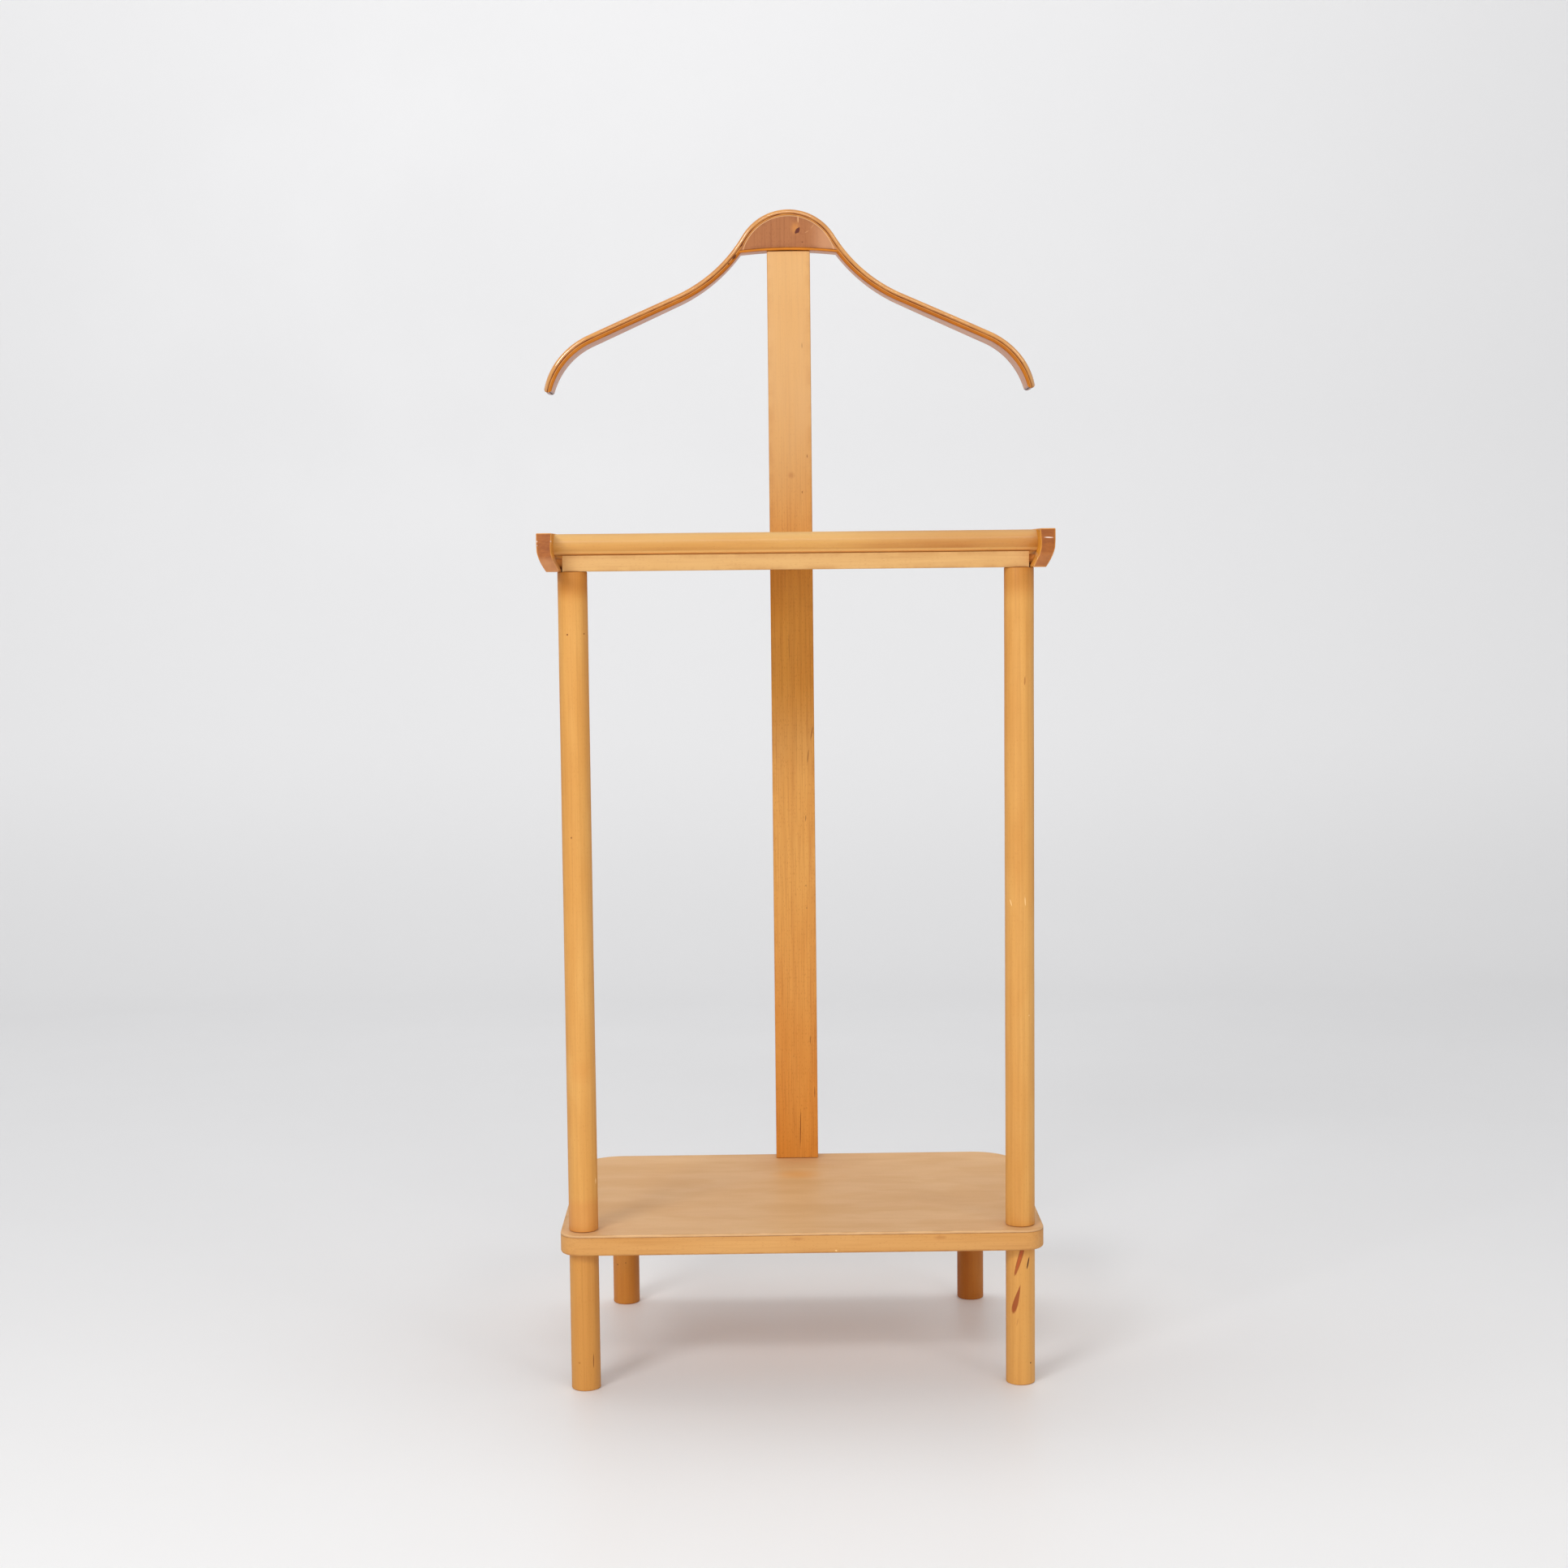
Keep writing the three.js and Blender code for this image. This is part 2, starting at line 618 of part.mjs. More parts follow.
function buildTrayPins() {
  const frontFaceX = armInnerX(FRONT_RAIL_PIN_Z);
  const postPinLength = POST_PIN.top - POST_PIN.bottom;
  for (const { side, sign } of SIDES) {
    const [frontStart] = railPinSpan(sign, frontFaceX, FRONT_RAIL_PIN_LENGTH);
    const [backStart] = railPinSpan(sign, ARM_INNER_X, BACK_RAIL_PIN_LENGTH);
    const frontPin = pin(PIN_DIAMETER, FRONT_RAIL_PIN_LENGTH).rotateY(Math.PI / 2);
    const backPin = pin(PIN_DIAMETER, BACK_RAIL_PIN_LENGTH).rotateY(Math.PI / 2);
    const front = addPiece(`front_rail_pin_${side}`, frontPin, WOOD.plain);
    front.position.set(frontStart, 0, FRONT_RAIL_PIN_Z);
    const back = addPiece(`back_rail_pin_${side}`, backPin, WOOD.plain);
    back.position.set(backStart, BACK_RAIL_Y, BACK_RAIL_PIN_Z);
    const post = addPiece(`post_top_pin_${side}`, pin(PIN_DIAMETER, postPinLength), WOOD.plain);
    post.position.set(sign * FRONT_POST_X, 0, POST_PIN.bottom);
  }
}

// Hanger: bent lamellae over a half-moon block, flaring in plan from the waist to the shoulders.

// Right half of a line parallel to the hanger's top surface, from the crown to the tip.
function hangerLine(inset) {
  const points = [[0, HANGER_TOP - inset]];
  const degree = Math.PI / 180;
  let slope = 0;
  const bend = (radius, toSlope, steps) => {
    const [x, z] = points[points.length - 1];
    const turn = Math.sign(toSlope - slope);
    for (let step = 1; step <= steps; step += 1) {
      const angle = slope + (toSlope - slope) * step / steps;
      const across = turn * radius * (Math.sin(angle * degree) - Math.sin(slope * degree));
      const down = turn * radius * (Math.cos(slope * degree) - Math.cos(angle * degree));
      points.push([x + across, z - down]);
    }
    slope = toSlope;
  };
  const run = (length) => {
    const [x, z] = points[points.length - 1];
    points.push([x + length * Math.cos(slope * degree), z - length * Math.sin(slope * degree)]);
  };
  bend(HUMP_RADIUS - inset, HUMP_ANGLE, 12);
  run(NECK_LENGTH);
  bend(SWEEP_RADIUS + inset, ARM_SLOPE, 8);
  run(ARM_LENGTH);
  bend(SHOULDER_RADIUS - inset, TIP_SLOPE, 12);
  return points;
}

function mirrored(points) {
  return points.slice(1).map(([x, z]) => [-x, z]).reverse();
}

function wholeHangerLine(inset) {
  const right = hangerLine(inset);
  return [...mirrored(right), ...right];
}

// Half the hanger's depth at a distance from its middle: narrow at the waist, wide at the shoulders.
function halfDepth(x) {
  const share = clamp01((Math.abs(x) - FLARE_START) / (FLARE_END - FLARE_START));
  const eased = share * share * (3 - 2 * share);
  return WAIST_HALF_DEPTH + (SHOULDER_HALF_DEPTH - WAIST_HALF_DEPTH) * eased;
}

function hangerPlan() {
  const line = hangerLine(0);
  const tipX = line[line.length - 1][0] + TIP_CLEARANCE;
  const cornerX = tipX - TIP_CORNER_RADIUS;
  const cornerY = SHOULDER_HALF_DEPTH - TIP_CORNER_RADIUS;
  const steps = 16;
  const rightEdge = [];
  for (let step = 0; step <= steps; step += 1) {
    const x = FLARE_START + (FLARE_END - FLARE_START) * step / steps;
    rightEdge.push([x, halfDepth(x)]);
  }
  const leftEdge = rightEdge.map(([x, y]) => [-x, y]).reverse();
  const quarter = Math.PI / 2;
  const shape = new THREE.Shape();
  shape.moveTo(-cornerX, SHOULDER_HALF_DEPTH);
  [...leftEdge, ...rightEdge].forEach(([x, y]) => shape.lineTo(x, y));
  shape.lineTo(cornerX, SHOULDER_HALF_DEPTH);
  shape.absarc(cornerX, cornerY, TIP_CORNER_RADIUS, quarter, 0, true);
  shape.absarc(cornerX, -cornerY, TIP_CORNER_RADIUS, 0, -quarter, true);
  [...leftEdge, ...rightEdge].reverse().forEach(([x, y]) => shape.lineTo(x, -y));
  shape.lineTo(-cornerX, -SHOULDER_HALF_DEPTH);
  shape.absarc(-cornerX, -cornerY, TIP_CORNER_RADIUS, -quarter, -2 * quarter, true);
  shape.absarc(-cornerX, cornerY, TIP_CORNER_RADIUS, 2 * quarter, quarter, true);
  return slab(shape, 0, 2 * HANGER_TOP, 6).translate(0, UPRIGHT_MIDDLE_Y, 0);
}

// Height of the arch that bounds the underside of the half-moon block, at a distance from the middle.
function archZ(x, crownZ) {
  return crownZ - RIM_RADIUS + Math.sqrt(RIM_RADIUS * RIM_RADIUS - x * x);
}

function archLine(crownZ, reach) {
  const steps = 16;
  const points = [];
  for (let step = 0; step <= steps; step += 1) {
    const x = -reach + 2 * reach * step / steps;
    points.push([x, archZ(x, crownZ)]);
  }
  return points;
}

function hangerPrism(points) {
  const reach = 2 * SHOULDER_HALF_DEPTH;
  return frontPrism(polygon(points), UPRIGHT_MIDDLE_Y - reach, UPRIGHT_MIDDLE_Y + reach);
}

function lamella(topInset, bottomInset) {
  const under = wholeHangerLine(bottomInset).reverse();
  return hangerPrism([...wholeHangerLine(topInset), ...under]);
}

function buildHanger() {
  const plan = hangerPlan();
  const innerTop = UPPER_LAMELLA + GAP;
  const innerBottom = innerTop + INNER_LAMELLA;
  const lowerTop = innerBottom + GAP;
  const archReach = 1.2 * HUMP_RADIUS;
  const beyondTip = SHELF_WIDTH;
  const rimBottom = RIM_TOP - RIM_THICKNESS;

  addPiece('hanger_upper_lamella', common(lamella(0, UPPER_LAMELLA), plan), WOOD.amber);
  addPiece('hanger_inner_lamella', common(lamella(innerTop, innerBottom), plan), WOOD.light);

  const underHump = hangerPrism(wholeHangerLine(lowerTop));
  const blockUnderside = archLine(RIM_TOP + GAP, archReach);
  const aboveRim = [[-archReach, HANGER_TOP], ...blockUnderside, [archReach, HANGER_TOP]];
  const humpBlock = common(underHump, hangerPrism(aboveRim));
  addPiece('hanger_core_block', cut(common(humpBlock, plan), hangerPinHoles()), WOOD.reddish);

  const band = [...archLine(rimBottom, archReach), ...archLine(RIM_TOP, archReach).reverse()];
  const rim = common(underHump, hangerPrism(band));
  addPiece('hanger_bottom_rim', cut(common(rim, plan), hangerPinHoles()), WOOD.amber);

  const strip = common(lamella(lowerTop, LAMINATE), plan);
  const below = archLine(rimBottom - GAP, archReach).filter(([x]) => x > 0);
  for (const { side, sign } of SIDES) {
    const farCorner = [beyondTip, below[below.length - 1][1]];
    const region = [[below[0][0], 0], ...below, farCorner, [beyondTip, 0]];
    const placed = region.map(([x, z]) => [sign * x, z]);
    addPiece(`hanger_lower_lamella_${side}`, common(strip, hangerPrism(placed)), WOOD.amber);
    const hangerPin = pin(PIN_DIAMETER, HANGER_PIN.top - HANGER_PIN.bottom);
    const placedPin = addPiece(`hanger_pin_${side}`, hangerPin, WOOD.plain);
    placedPin.position.set(sign * HANGER_PIN_X, UPRIGHT_MIDDLE_Y, HANGER_PIN.bottom);
  }
}

buildShelf();
buildLegsAndPosts();
buildUpright();
buildTrayArms();
buildTrayRails();
buildTrayPanel();
buildTrouserBar();
buildTrayPins();
buildHanger();

export default valetStand;
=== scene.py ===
"""Looks of a valet stand in lacquered beech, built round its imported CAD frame.

Metres, +Z up, the front faces -Y. Places come from the CAD nodes' boxes.
"""

import math

import bmesh
import bpy
from mathutils import Matrix, Vector, noise


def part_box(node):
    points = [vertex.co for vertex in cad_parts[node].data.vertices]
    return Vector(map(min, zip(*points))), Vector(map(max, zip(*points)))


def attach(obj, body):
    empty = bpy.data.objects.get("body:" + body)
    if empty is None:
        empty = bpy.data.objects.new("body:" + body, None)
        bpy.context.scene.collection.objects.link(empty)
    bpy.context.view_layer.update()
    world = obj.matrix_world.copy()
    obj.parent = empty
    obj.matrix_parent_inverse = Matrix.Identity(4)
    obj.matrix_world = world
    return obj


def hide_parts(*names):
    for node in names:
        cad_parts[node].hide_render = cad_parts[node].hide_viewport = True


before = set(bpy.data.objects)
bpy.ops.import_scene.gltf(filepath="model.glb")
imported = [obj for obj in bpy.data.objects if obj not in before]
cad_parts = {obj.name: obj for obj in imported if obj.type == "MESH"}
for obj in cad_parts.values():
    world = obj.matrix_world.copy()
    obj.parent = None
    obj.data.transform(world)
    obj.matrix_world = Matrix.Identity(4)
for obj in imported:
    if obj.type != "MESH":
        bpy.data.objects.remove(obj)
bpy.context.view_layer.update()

MM = 0.001
BODY = "root"

board_low, board_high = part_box("back_upright")
sheet_low, sheet_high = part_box("shelf_top_sheet")
crown_low, crown_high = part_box("hanger_upper_lamella")
crown_z = crown_high.z
hanger_y = (crown_low.y + crown_high.y) / 2
rim_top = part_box("hanger_bottom_rim")[1].z


# ---------------------------------------------------------------- meshes

class Skin:
    """Collects rings of points with their grain place, wear, end-grain and glue-line values."""

    def __init__(self):
        self.points = []
        self.faces = []
        self.grain = []
        self.edge = []
        self.cap = []
        self.glue = []

    def ring(self, points, grain, edge=None, cap=0.0, glue=None):
        start = len(self.points)
        count = len(points)
        self.points += [tuple(p) for p in points]
        self.grain += [tuple(g) for g in grain]
        self.edge += edge or [0.0] * count
        self.cap += [cap] * count
        self.glue += glue or [0.0] * count
        return list(range(start, start + count))

    def bridge(self, first, second):
        for i in range(len(first)):
            j = (i + 1) % len(first)
            self.faces.append((first[i], first[j], second[j], second[i]))

    def close(self, ring, flip=False):
        self.faces.append(tuple(reversed(ring)) if flip else tuple(ring))

    def tube(self, rings):
        """Joins rings in turn, and closes both ends."""
        for first, second in zip(rings, rings[1:], strict=False):
            self.bridge(first, second)
        self.close(rings[0], flip=True)
        self.close(rings[-1])

    def piece(self, name, material, nodes, slot, angle=32):
        mesh = bpy.data.meshes.new(name)
        mesh.from_pydata(self.points, [], self.faces)
        mesh.validate()
        for title, values in (("edge", self.edge), ("cap", self.cap), ("glue", self.glue)):
            layer = mesh.attributes.new(title, "FLOAT", "POINT")
            layer.data.foreach_set("value", values)
        layer = mesh.attributes.new("grain", "FLOAT_VECTOR", "POINT")
        layer.data.foreach_set("vector", [c for g in self.grain for c in g])
        mesh.shade_smooth()
        mesh.set_sharp_from_angle(angle=math.radians(angle))
        mesh.materials.append(material)
        made = bpy.data.objects.new(name, mesh)
        bpy.context.scene.collection.objects.link(made)
        outward(made)
        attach(made, BODY)
        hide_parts(*nodes)


def outward(made):
    """Turns every face of a closed mesh outwards."""
    work = bmesh.new()
    work.from_mesh(made.data)
    bmesh.ops.recalc_face_normals(work, faces=work.faces)
    work.to_mesh(made.data)
    work.free()


MOST_PIECES = 60


def rounded(corners, steps=5, spacing=0.006):
    """A closed outline through rounded corners: corners are (u, v, radius); gives (u, v, on an edge)."""
    outline = []
    for i, (*place, radius) in enumerate(corners):
        here = Vector(place)
        before = (Vector(corners[i - 1][:2]) - here).normalized()
        after = (Vector(corners[(i + 1) % len(corners)][:2]) - here).normalized()
        outline += corner_arc(here, before, after, radius, steps)
    full = []
    for i, point in enumerate(outline):
        following = outline[(i + 1) % len(outline)]
        full.append(point)
        if (i + 1) % (steps + 1) == 0:
            pieces = max(1, min(MOST_PIECES, int(math.dist(point[:2], following[:2]) / spacing)))
            for k in range(1, pieces):
                share = k / pieces
                u = point[0] + (following[0] - point[0]) * share
                v = point[1] + (following[1] - point[1]) * share
                full.append((u, v, 0.0))
    return full


def corner_arc(here, before, after, radius, steps):
    """Points round a corner whose sides leave it in the directions before and after."""
    half = before.angle(after) / 2
    reach = radius / math.tan(half)
    centre = here + (before + after).normalized() * radius / math.sin(half)
    start = math.atan2(*(here + before * reach - centre).yx)
    turn = math.atan2(*(here + after * reach - centre).yx) - start
    turn = (turn + math.pi) % (2 * math.pi) - math.pi
    angles = [start + turn * k / steps for k in range(steps + 1)]
    return [(centre.x + radius * math.cos(a), centre.y + radius * math.sin(a), 1.0) for a in angles]


def oblong(low_u, low_v, high_u, high_v, radius):
    corners = [(low_u, low_v), (high_u, low_v), (high_u, high_v), (low_u, high_v)]
    return [(u, v, radius) for u, v in corners]


def quarter(steps, backwards=False):
    """Sine and cosine at even steps over a quarter turn."""
    order = range(steps, -1, -1) if backwards else range(steps + 1)
    return [(math.sin(math.pi / 2 * k / steps), math.cos(math.pi / 2 * k / steps)) for k in order]


def circle(radius, count=96):
    turn = 2 * math.pi / count
    return [(radius * math.cos(i * turn), radius * math.sin(i * turn), 0.0) for i in range(count)]


def inset(outline, depth):
    """The outline moved inwards by depth."""
    area = sum(
        a[0] * b[1] - b[0] * a[1] for a, b in zip(outline, outline[1:] + outline[:1], strict=True)
    )
    sign = 1 if area > 0 else -1
    moved = []
    for i, point in enumerate(outline):
        before, after = outline[i - 1], outline[(i + 1) % len(outline)]
        run = Vector((after[0] - before[0], after[1] - before[1])).normalized()
        moved.append((point[0] - sign * run.y * depth, point[1] + sign * run.x * depth, point[2]))
    return moved


END_STEPS = 4
WAVE_ACROSS, WAVE_ALONG, WAVE_SHIFT = 60, 14, 90
AXES = {
    "x": lambda u, v, t: Vector((t, u, v)),
    "y": lambda u, v, t: Vector((u, t, v)),
    "z": lambda u, v, t: Vector((u, v, t)),
}
GRAINS = {
    "x": lambda p: (p.x, p.y, p.z),
    "y": lambda p: (p.y, p.x, p.z),
    "z": lambda p: (p.z, p.x, p.y),
}


def prism(outline, axis, start, end, end_radius, spacing, centre=(0, 0), grain=None, uneven=0.0):
    """A straight length of one section, with rounded ends. Returns its skin."""
    skin = Skin()
    place = AXES[axis]
    grain_of = GRAINS[grain or axis]
    run = end - start - 2 * end_radius
    count = max(2, int(run / spacing))
    bevel = [(end_radius * (1 - cos), end_radius * (1 - sin)) for sin, cos in quarter(END_STEPS)]
    stations = [(start + along, depth) for along, depth in bevel]
    stations += [(start + end_radius + run * k / count, 0.0) for k in range(1, count)]
    stations += [(end - along, depth) for along, depth in reversed(bevel)]
    rings = []
    for index, (t, depth) in enumerate(stations):
        near_end = depth > 1e-9
        section = inset(outline, depth) if near_end else outline
        points = []
        for u, v, _ in section:
            shrink = 0.0
            if uneven:
                wave = Vector((u * WAVE_ACROSS, v * WAVE_ACROSS, t * WAVE_ALONG + centre[0] * WAVE_SHIFT))
                shrink = uneven * noise.noise(wave) / (math.hypot(u, v) or 1)
            points.append(place(centre[0] + u * (1 - shrink), centre[1] + v * (1 - shrink), t))
        cap = 1.0 if index in (0, len(stations) - 1) else 0.0
        edge = [1.0 if near_end else e for _, _, e in section]
        rings.append(skin.ring(points, [grain_of(p) for p in points], edge, cap))
    skin.tube(rings)
    return skin


# ---------------------------------------------------------------- materials

def linear(red, green, blue):
    """A display colour, 0 to 255 a channel, as scene-linear with alpha."""
    def one(c):
        c /= 255
        return c / 12.92 if c <= 0.04045 else ((c + 0.055) / 1.055) ** 2.4
    return (one(red), one(green), one(blue), 1.0)


class Shader:
    """A material's node tree, with short calls for the nodes it is made of."""

    def __init__(self, name):
        self.material = bpy.data.materials.new(name)
        self.material.use_nodes = True
        self.nodes = self.material.node_tree.nodes
        self.links = self.material.node_tree.links
        self.nodes.clear()

    def add(self, kind, inputs=None, **settings):
        made = self.nodes.new(kind)
        for key, value in settings.items():
            setattr(made, key, value)
        for key, value in (inputs or {}).items():
            if isinstance(value, bpy.types.NodeSocket):
                self.links.new(value, made.inputs[key])
            else:
                made.inputs[key].default_value = value
        return made

    def math(self, operation, first, second=0.0):
        return self.add("ShaderNodeMath", {0: first, 1: second}, operation=operation).outputs[0]

    def times(self, first, *factors):
        for factor in factors:
            first = self.math("MULTIPLY", first, factor)
        return first

    def vector(self, operation, first, second):
        return self.add("ShaderNodeVectorMath", {0: first, 1: second}, operation=operation).outputs[0]

    def scaled(self, vector, along, across, deeper=None):
        return self.vector("MULTIPLY", vector, (along, across, deeper or across))

    def noise(self, vector, detail=2.0, distortion=0.0):
        inputs = {
            "Vector": vector, "Scale": 1.0, "Detail": detail, "Roughness": 0.5, "Distortion": distortion,
        }
        return self.add("ShaderNodeTexNoise", inputs).outputs["Fac"]

    def ramp(self, value, low, high, to_low=0.0, to_high=1.0):
        inputs = {"Value": value, "From Min": low, "From Max": high, "To Min": to_low, "To Max": to_high}
        return self.add("ShaderNodeMapRange", inputs, interpolation_type="SMOOTHSTEP").outputs["Result"]

    def mix(self, share, first, second, blend="MIX"):
        inputs = {0: share, 6: first, 7: second}
        return self.add("ShaderNodeMix", inputs, data_type="RGBA", blend_type=blend).outputs[2]

    def bump(self, strength, distance, height):
        inputs = {"Strength": strength, "Distance": distance, "Height": height}
        return self.add("ShaderNodeBump", inputs).outputs[0]

    def attribute(self, name, output="Fac"):
        return self.add("ShaderNodeAttribute", attribute_name=name).outputs[output]

    def finish(self, inputs):
        surface = self.add("ShaderNodeBsdfPrincipled", inputs)
        self.add("ShaderNodeOutputMaterial", {"Surface": surface.outputs[0]})
        return self.material


MARK_NOISE = (900, 900, 300)
NARROWEST = 0.12


def spot(shader, place, mark):
    """How far inside a mark a point lies, 0 to 1. A mark is an uneven, tilted, tapering spot."""
    local = shader.vector("SUBTRACT", place, tuple(mark["at"]))
    tilt = {"Vector": local, "Angle": mark.get("tilt", 0.0)}
    turned = shader.add("ShaderNodeVectorRotate", tilt, rotation_type="Y_AXIS").outputs[0]
    scaled = shader.vector("MULTIPLY", turned, tuple(1 / half for half in mark["half"]))
    taper = mark.get("taper", 0.0)
    if taper:
        parts = shader.add("ShaderNodeSeparateXYZ", {0: scaled})
        narrow = shader.math("ADD", shader.times(parts.outputs[2], taper), 1.0)
        across = shader.math("DIVIDE", parts.outputs[0], shader.math("MAXIMUM", narrow, NARROWEST))
        joined = shader.add("ShaderNodeCombineXYZ", {0: across, 1: parts.outputs[1], 2: parts.outputs[2]})
        scaled = joined.outputs[0]
    size = shader.add("ShaderNodeVectorMath", {0: scaled}, operation="LENGTH").outputs["Value"]
    uneven = shader.noise(shader.vector("MULTIPLY", local, MARK_NOISE), 2.0)
    push = shader.times(shader.math("SUBTRACT", uneven, 0.5), mark.get("ragged", 0.35))
    size = shader.math("ADD", size, push)
    soft = mark.get("soft", 0.35)
    if mark.get("ring"):
        off = shader.math("ABSOLUTE", shader.math("SUBTRACT", size, 1.0))
        inside = shader.ramp(off, 0.0, soft, 1.0, 0.0)
    else:
        inside = shader.ramp(size, 1.0 - soft, 1.0, 1.0, 0.0)
    return shader.times(inside, mark.get("strength", 1.0))


MARK_DEPTH = 12 * MM


def streak(node, start, end, width, colour, **looks):
    """A mark on a node's front; start and end are (x from the node's middle, z from the floor) in mm."""
    low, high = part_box(node)
    run = Vector(end) - Vector(start)
    mid = (Vector(start) + Vector(end)) / 2
    at = ((low.x + high.x) / 2 + mid.x * MM, low.y, mid.y * MM)
    half = (width / 2 * MM, MARK_DEPTH, max(run.length, width) / 2 * MM)
    tilt = math.atan2(run.x, run.y) if run.length else 0.0
    return {"at": at, "half": half, "tilt": -tilt, "colour": colour, **looks}


def tone(start, end, colour, axis=2, **looks):
    """A shift of colour that grows from start to end along an axis."""
    return {"axis": axis, "start": start, "end": end, "colour": linear(*colour), **looks}


def tint_and_shade(*colour):
    """A tone that multiplies a whole piece's colour, because it is already complete at the floor; on the back
    legs it is partly painted shade.
    """
    return tone(-0.1, -0.05, colour, blend="MULTIPLY")


def toned(shader, colour, place, waver, shift):
    """Applies a tone, and takes it back again from fade to gone where it says so."""
    along = shader.add("ShaderNodeSeparateXYZ", {0: place}).outputs[shift["axis"]]
    share = shader.ramp(along, shift["start"], shift["end"])
    if "fade" in shift:
        share = shader.times(share, shader.ramp(along, shift["fade"], shift["gone"], 1.0, 0.0))
    share = shader.times(share, waver, shift.get("amount", 1.0))
    return shader.mix(share, colour, shift["colour"], shift.get("blend", "MIX"))


def figure_layers(shader, grain, long):
    """The wood's own patterns: broad figure, growth lines, fine lines, fibres, ray flecks and clouds."""
    broad = shader.ramp(shader.noise(shader.scaled(grain, 3.4 / long, 26, 34), 3.0, 0.9), 0.34, 0.68)
    growth = shader.ramp(shader.noise(shader.scaled(grain, 2.2 / long, 210, 90), 2.0, 0.8), 0.44, 0.7)
    fine = shader.noise(shader.scaled(grain, 16, 900, 620), 2.0, 0.3)
    fibre = shader.noise(shader.scaled(grain, 90, 2600, 2400), 1.0)
    cell_inputs = {"Vector": shader.scaled(grain, 260, 1350, 1000), "Scale": 1.0, "Randomness": 1.0}
    cells = shader.add("ShaderNodeTexVoronoi", cell_inputs, feature="F1")
    dash = shader.ramp(cells.outputs["Distance"], 0.14, 0.36, 1.0, 0.0)
    pick = shader.add("ShaderNodeSeparateColor", {0: cells.outputs["Color"]}).outputs[0]
    dash = shader.times(dash, shader.math("GREATER_THAN", pick, 0.5))
    clouds = shader.ramp(shader.noise(shader.scaled(grain, 13, 30), 3.0, 0.4), 0.36, 0.68)
    return broad, growth, fine, fibre, dash, clouds


def end_grain(shader, grain, end, deep):
    rays = shader.noise(shader.scaled(grain, 300, 300, 1500), 2.0, 0.3)
    rings = shader.ramp(shader.noise(shader.scaled(grain, 60, 60, 260), 2.0, 0.5), 0.4, 0.66)
    cut = shader.mix(shader.times(shader.ramp(rays, 0.4, 0.64), 0.35), end, deep)
    return shader.mix(shader.times(rings, 0.35), cut, deep)


def lacquer(shader, place, layers, rubbed, roughness=0.42, gloss=0.3, coat=0.0, coat_roughness=0.12,
            coat_index=1.5, grazing=0.0, relief=0.16):
    """The finish: faint relief, an uneven sheen, and a shine that is grazing times itself at flat angles."""
    fine, fibre, dash, clouds = layers
    height = shader.math("ADD", shader.times(fibre, 0.35), shader.times(fine, 0.5))
    height = shader.math("SUBTRACT", height, shader.times(dash, 0.3))
    peel = shader.noise(shader.scaled(place, 160, 160), 1.0)
    height = shader.math("ADD", height, shader.times(peel, 0.8))
    bump = shader.bump(relief, 0.12 * MM, height)
    rough = shader.times(shader.math("SUBTRACT", clouds, 0.5), 0.06)
    rough = shader.math("ADD", rough, shader.times(fine, 0.05))
    rough = shader.math("ADD", rough, shader.times(rubbed, 0.2))
    rough = shader.math("ADD", rough, roughness)
    turned_away = shader.add("ShaderNodeLayerWeight", {"Blend": 0.5}).outputs["Facing"]
    return {
        "Roughness": rough,
        "Normal": bump,
        "Specular IOR Level": shader.ramp(turned_away, 0.4, 0.95, gloss, gloss * grazing),
        "Coat Weight": shader.ramp(turned_away, 0.4, 0.95, coat, coat * grazing),
        "Coat Roughness": coat_roughness,
        "Coat IOR": coat_index,
        "IOR": 1.5,
    }


SEED_STEP = (0.37, 0.13, 0.071)


def wood(name, seed, pale, mid, deep, end, figure=0.6, bands=0.3, lines=0.25, flecks=0.35, mottle=0.3,
         long=1.0, wear=0.3, tones=(), marks=(), source="grain", **finish):
    """Lacquered beech: soft figure, growth lines, ray flecks, end grain, worn edges and named marks."""
    shader = Shader(name)
    place = shader.add("ShaderNodeTexCoord").outputs["Object"]
    grain = shader.attribute("grain", "Vector") if source == "grain" else place
    grain = shader.vector("ADD", grain, tuple(seed * step for step in SEED_STEP))
    broad, growth, fine, fibre, dash, clouds = figure_layers(shader, grain, long)

    colour = shader.mix(shader.times(broad, figure), pale, mid)
    colour = shader.mix(shader.times(clouds, mottle), colour, mid)
    colour = shader.mix(shader.times(growth, bands * 0.5), colour, deep)
    colour = shader.mix(shader.times(shader.ramp(fine, 0.45, 0.75), lines * 0.5), colour, deep)
    colour = shader.mix(shader.times(dash, flecks * 0.45), colour, deep)
    cut = end_grain(shader, grain, end, deep)
    colour = shader.mix(shader.attribute("cap"), colour, cut)

    waver = shader.ramp(shader.noise(shader.scaled(grain, 14, 40), 2.0), 0.2, 0.8, 0.75, 1.0)
    for shift in tones:
        colour = toned(shader, colour, place, waver, shift)
    patch = shader.ramp(shader.noise(shader.scaled(place, 55, 55), 3.0), 0.4, 0.62)
    rubbed = shader.times(shader.attribute("edge"), patch, wear)
    colour = shader.mix(rubbed, colour, deep)
    for mark in marks:
        colour = shader.mix(spot(shader, place, mark), colour, mark["colour"])
    thin = shader.ramp(shader.noise(shader.scaled(place, 90, 90), 2.0), 0.25, 0.7, 0.6, 1.0)
    colour = shader.mix(shader.times(shader.attribute("glue"), thin), colour, GLUE)
    surface = lacquer(shader, place, (fine, fibre, dash, clouds), rubbed, **finish)
    return shader.finish({"Base Color": colour, **surface})


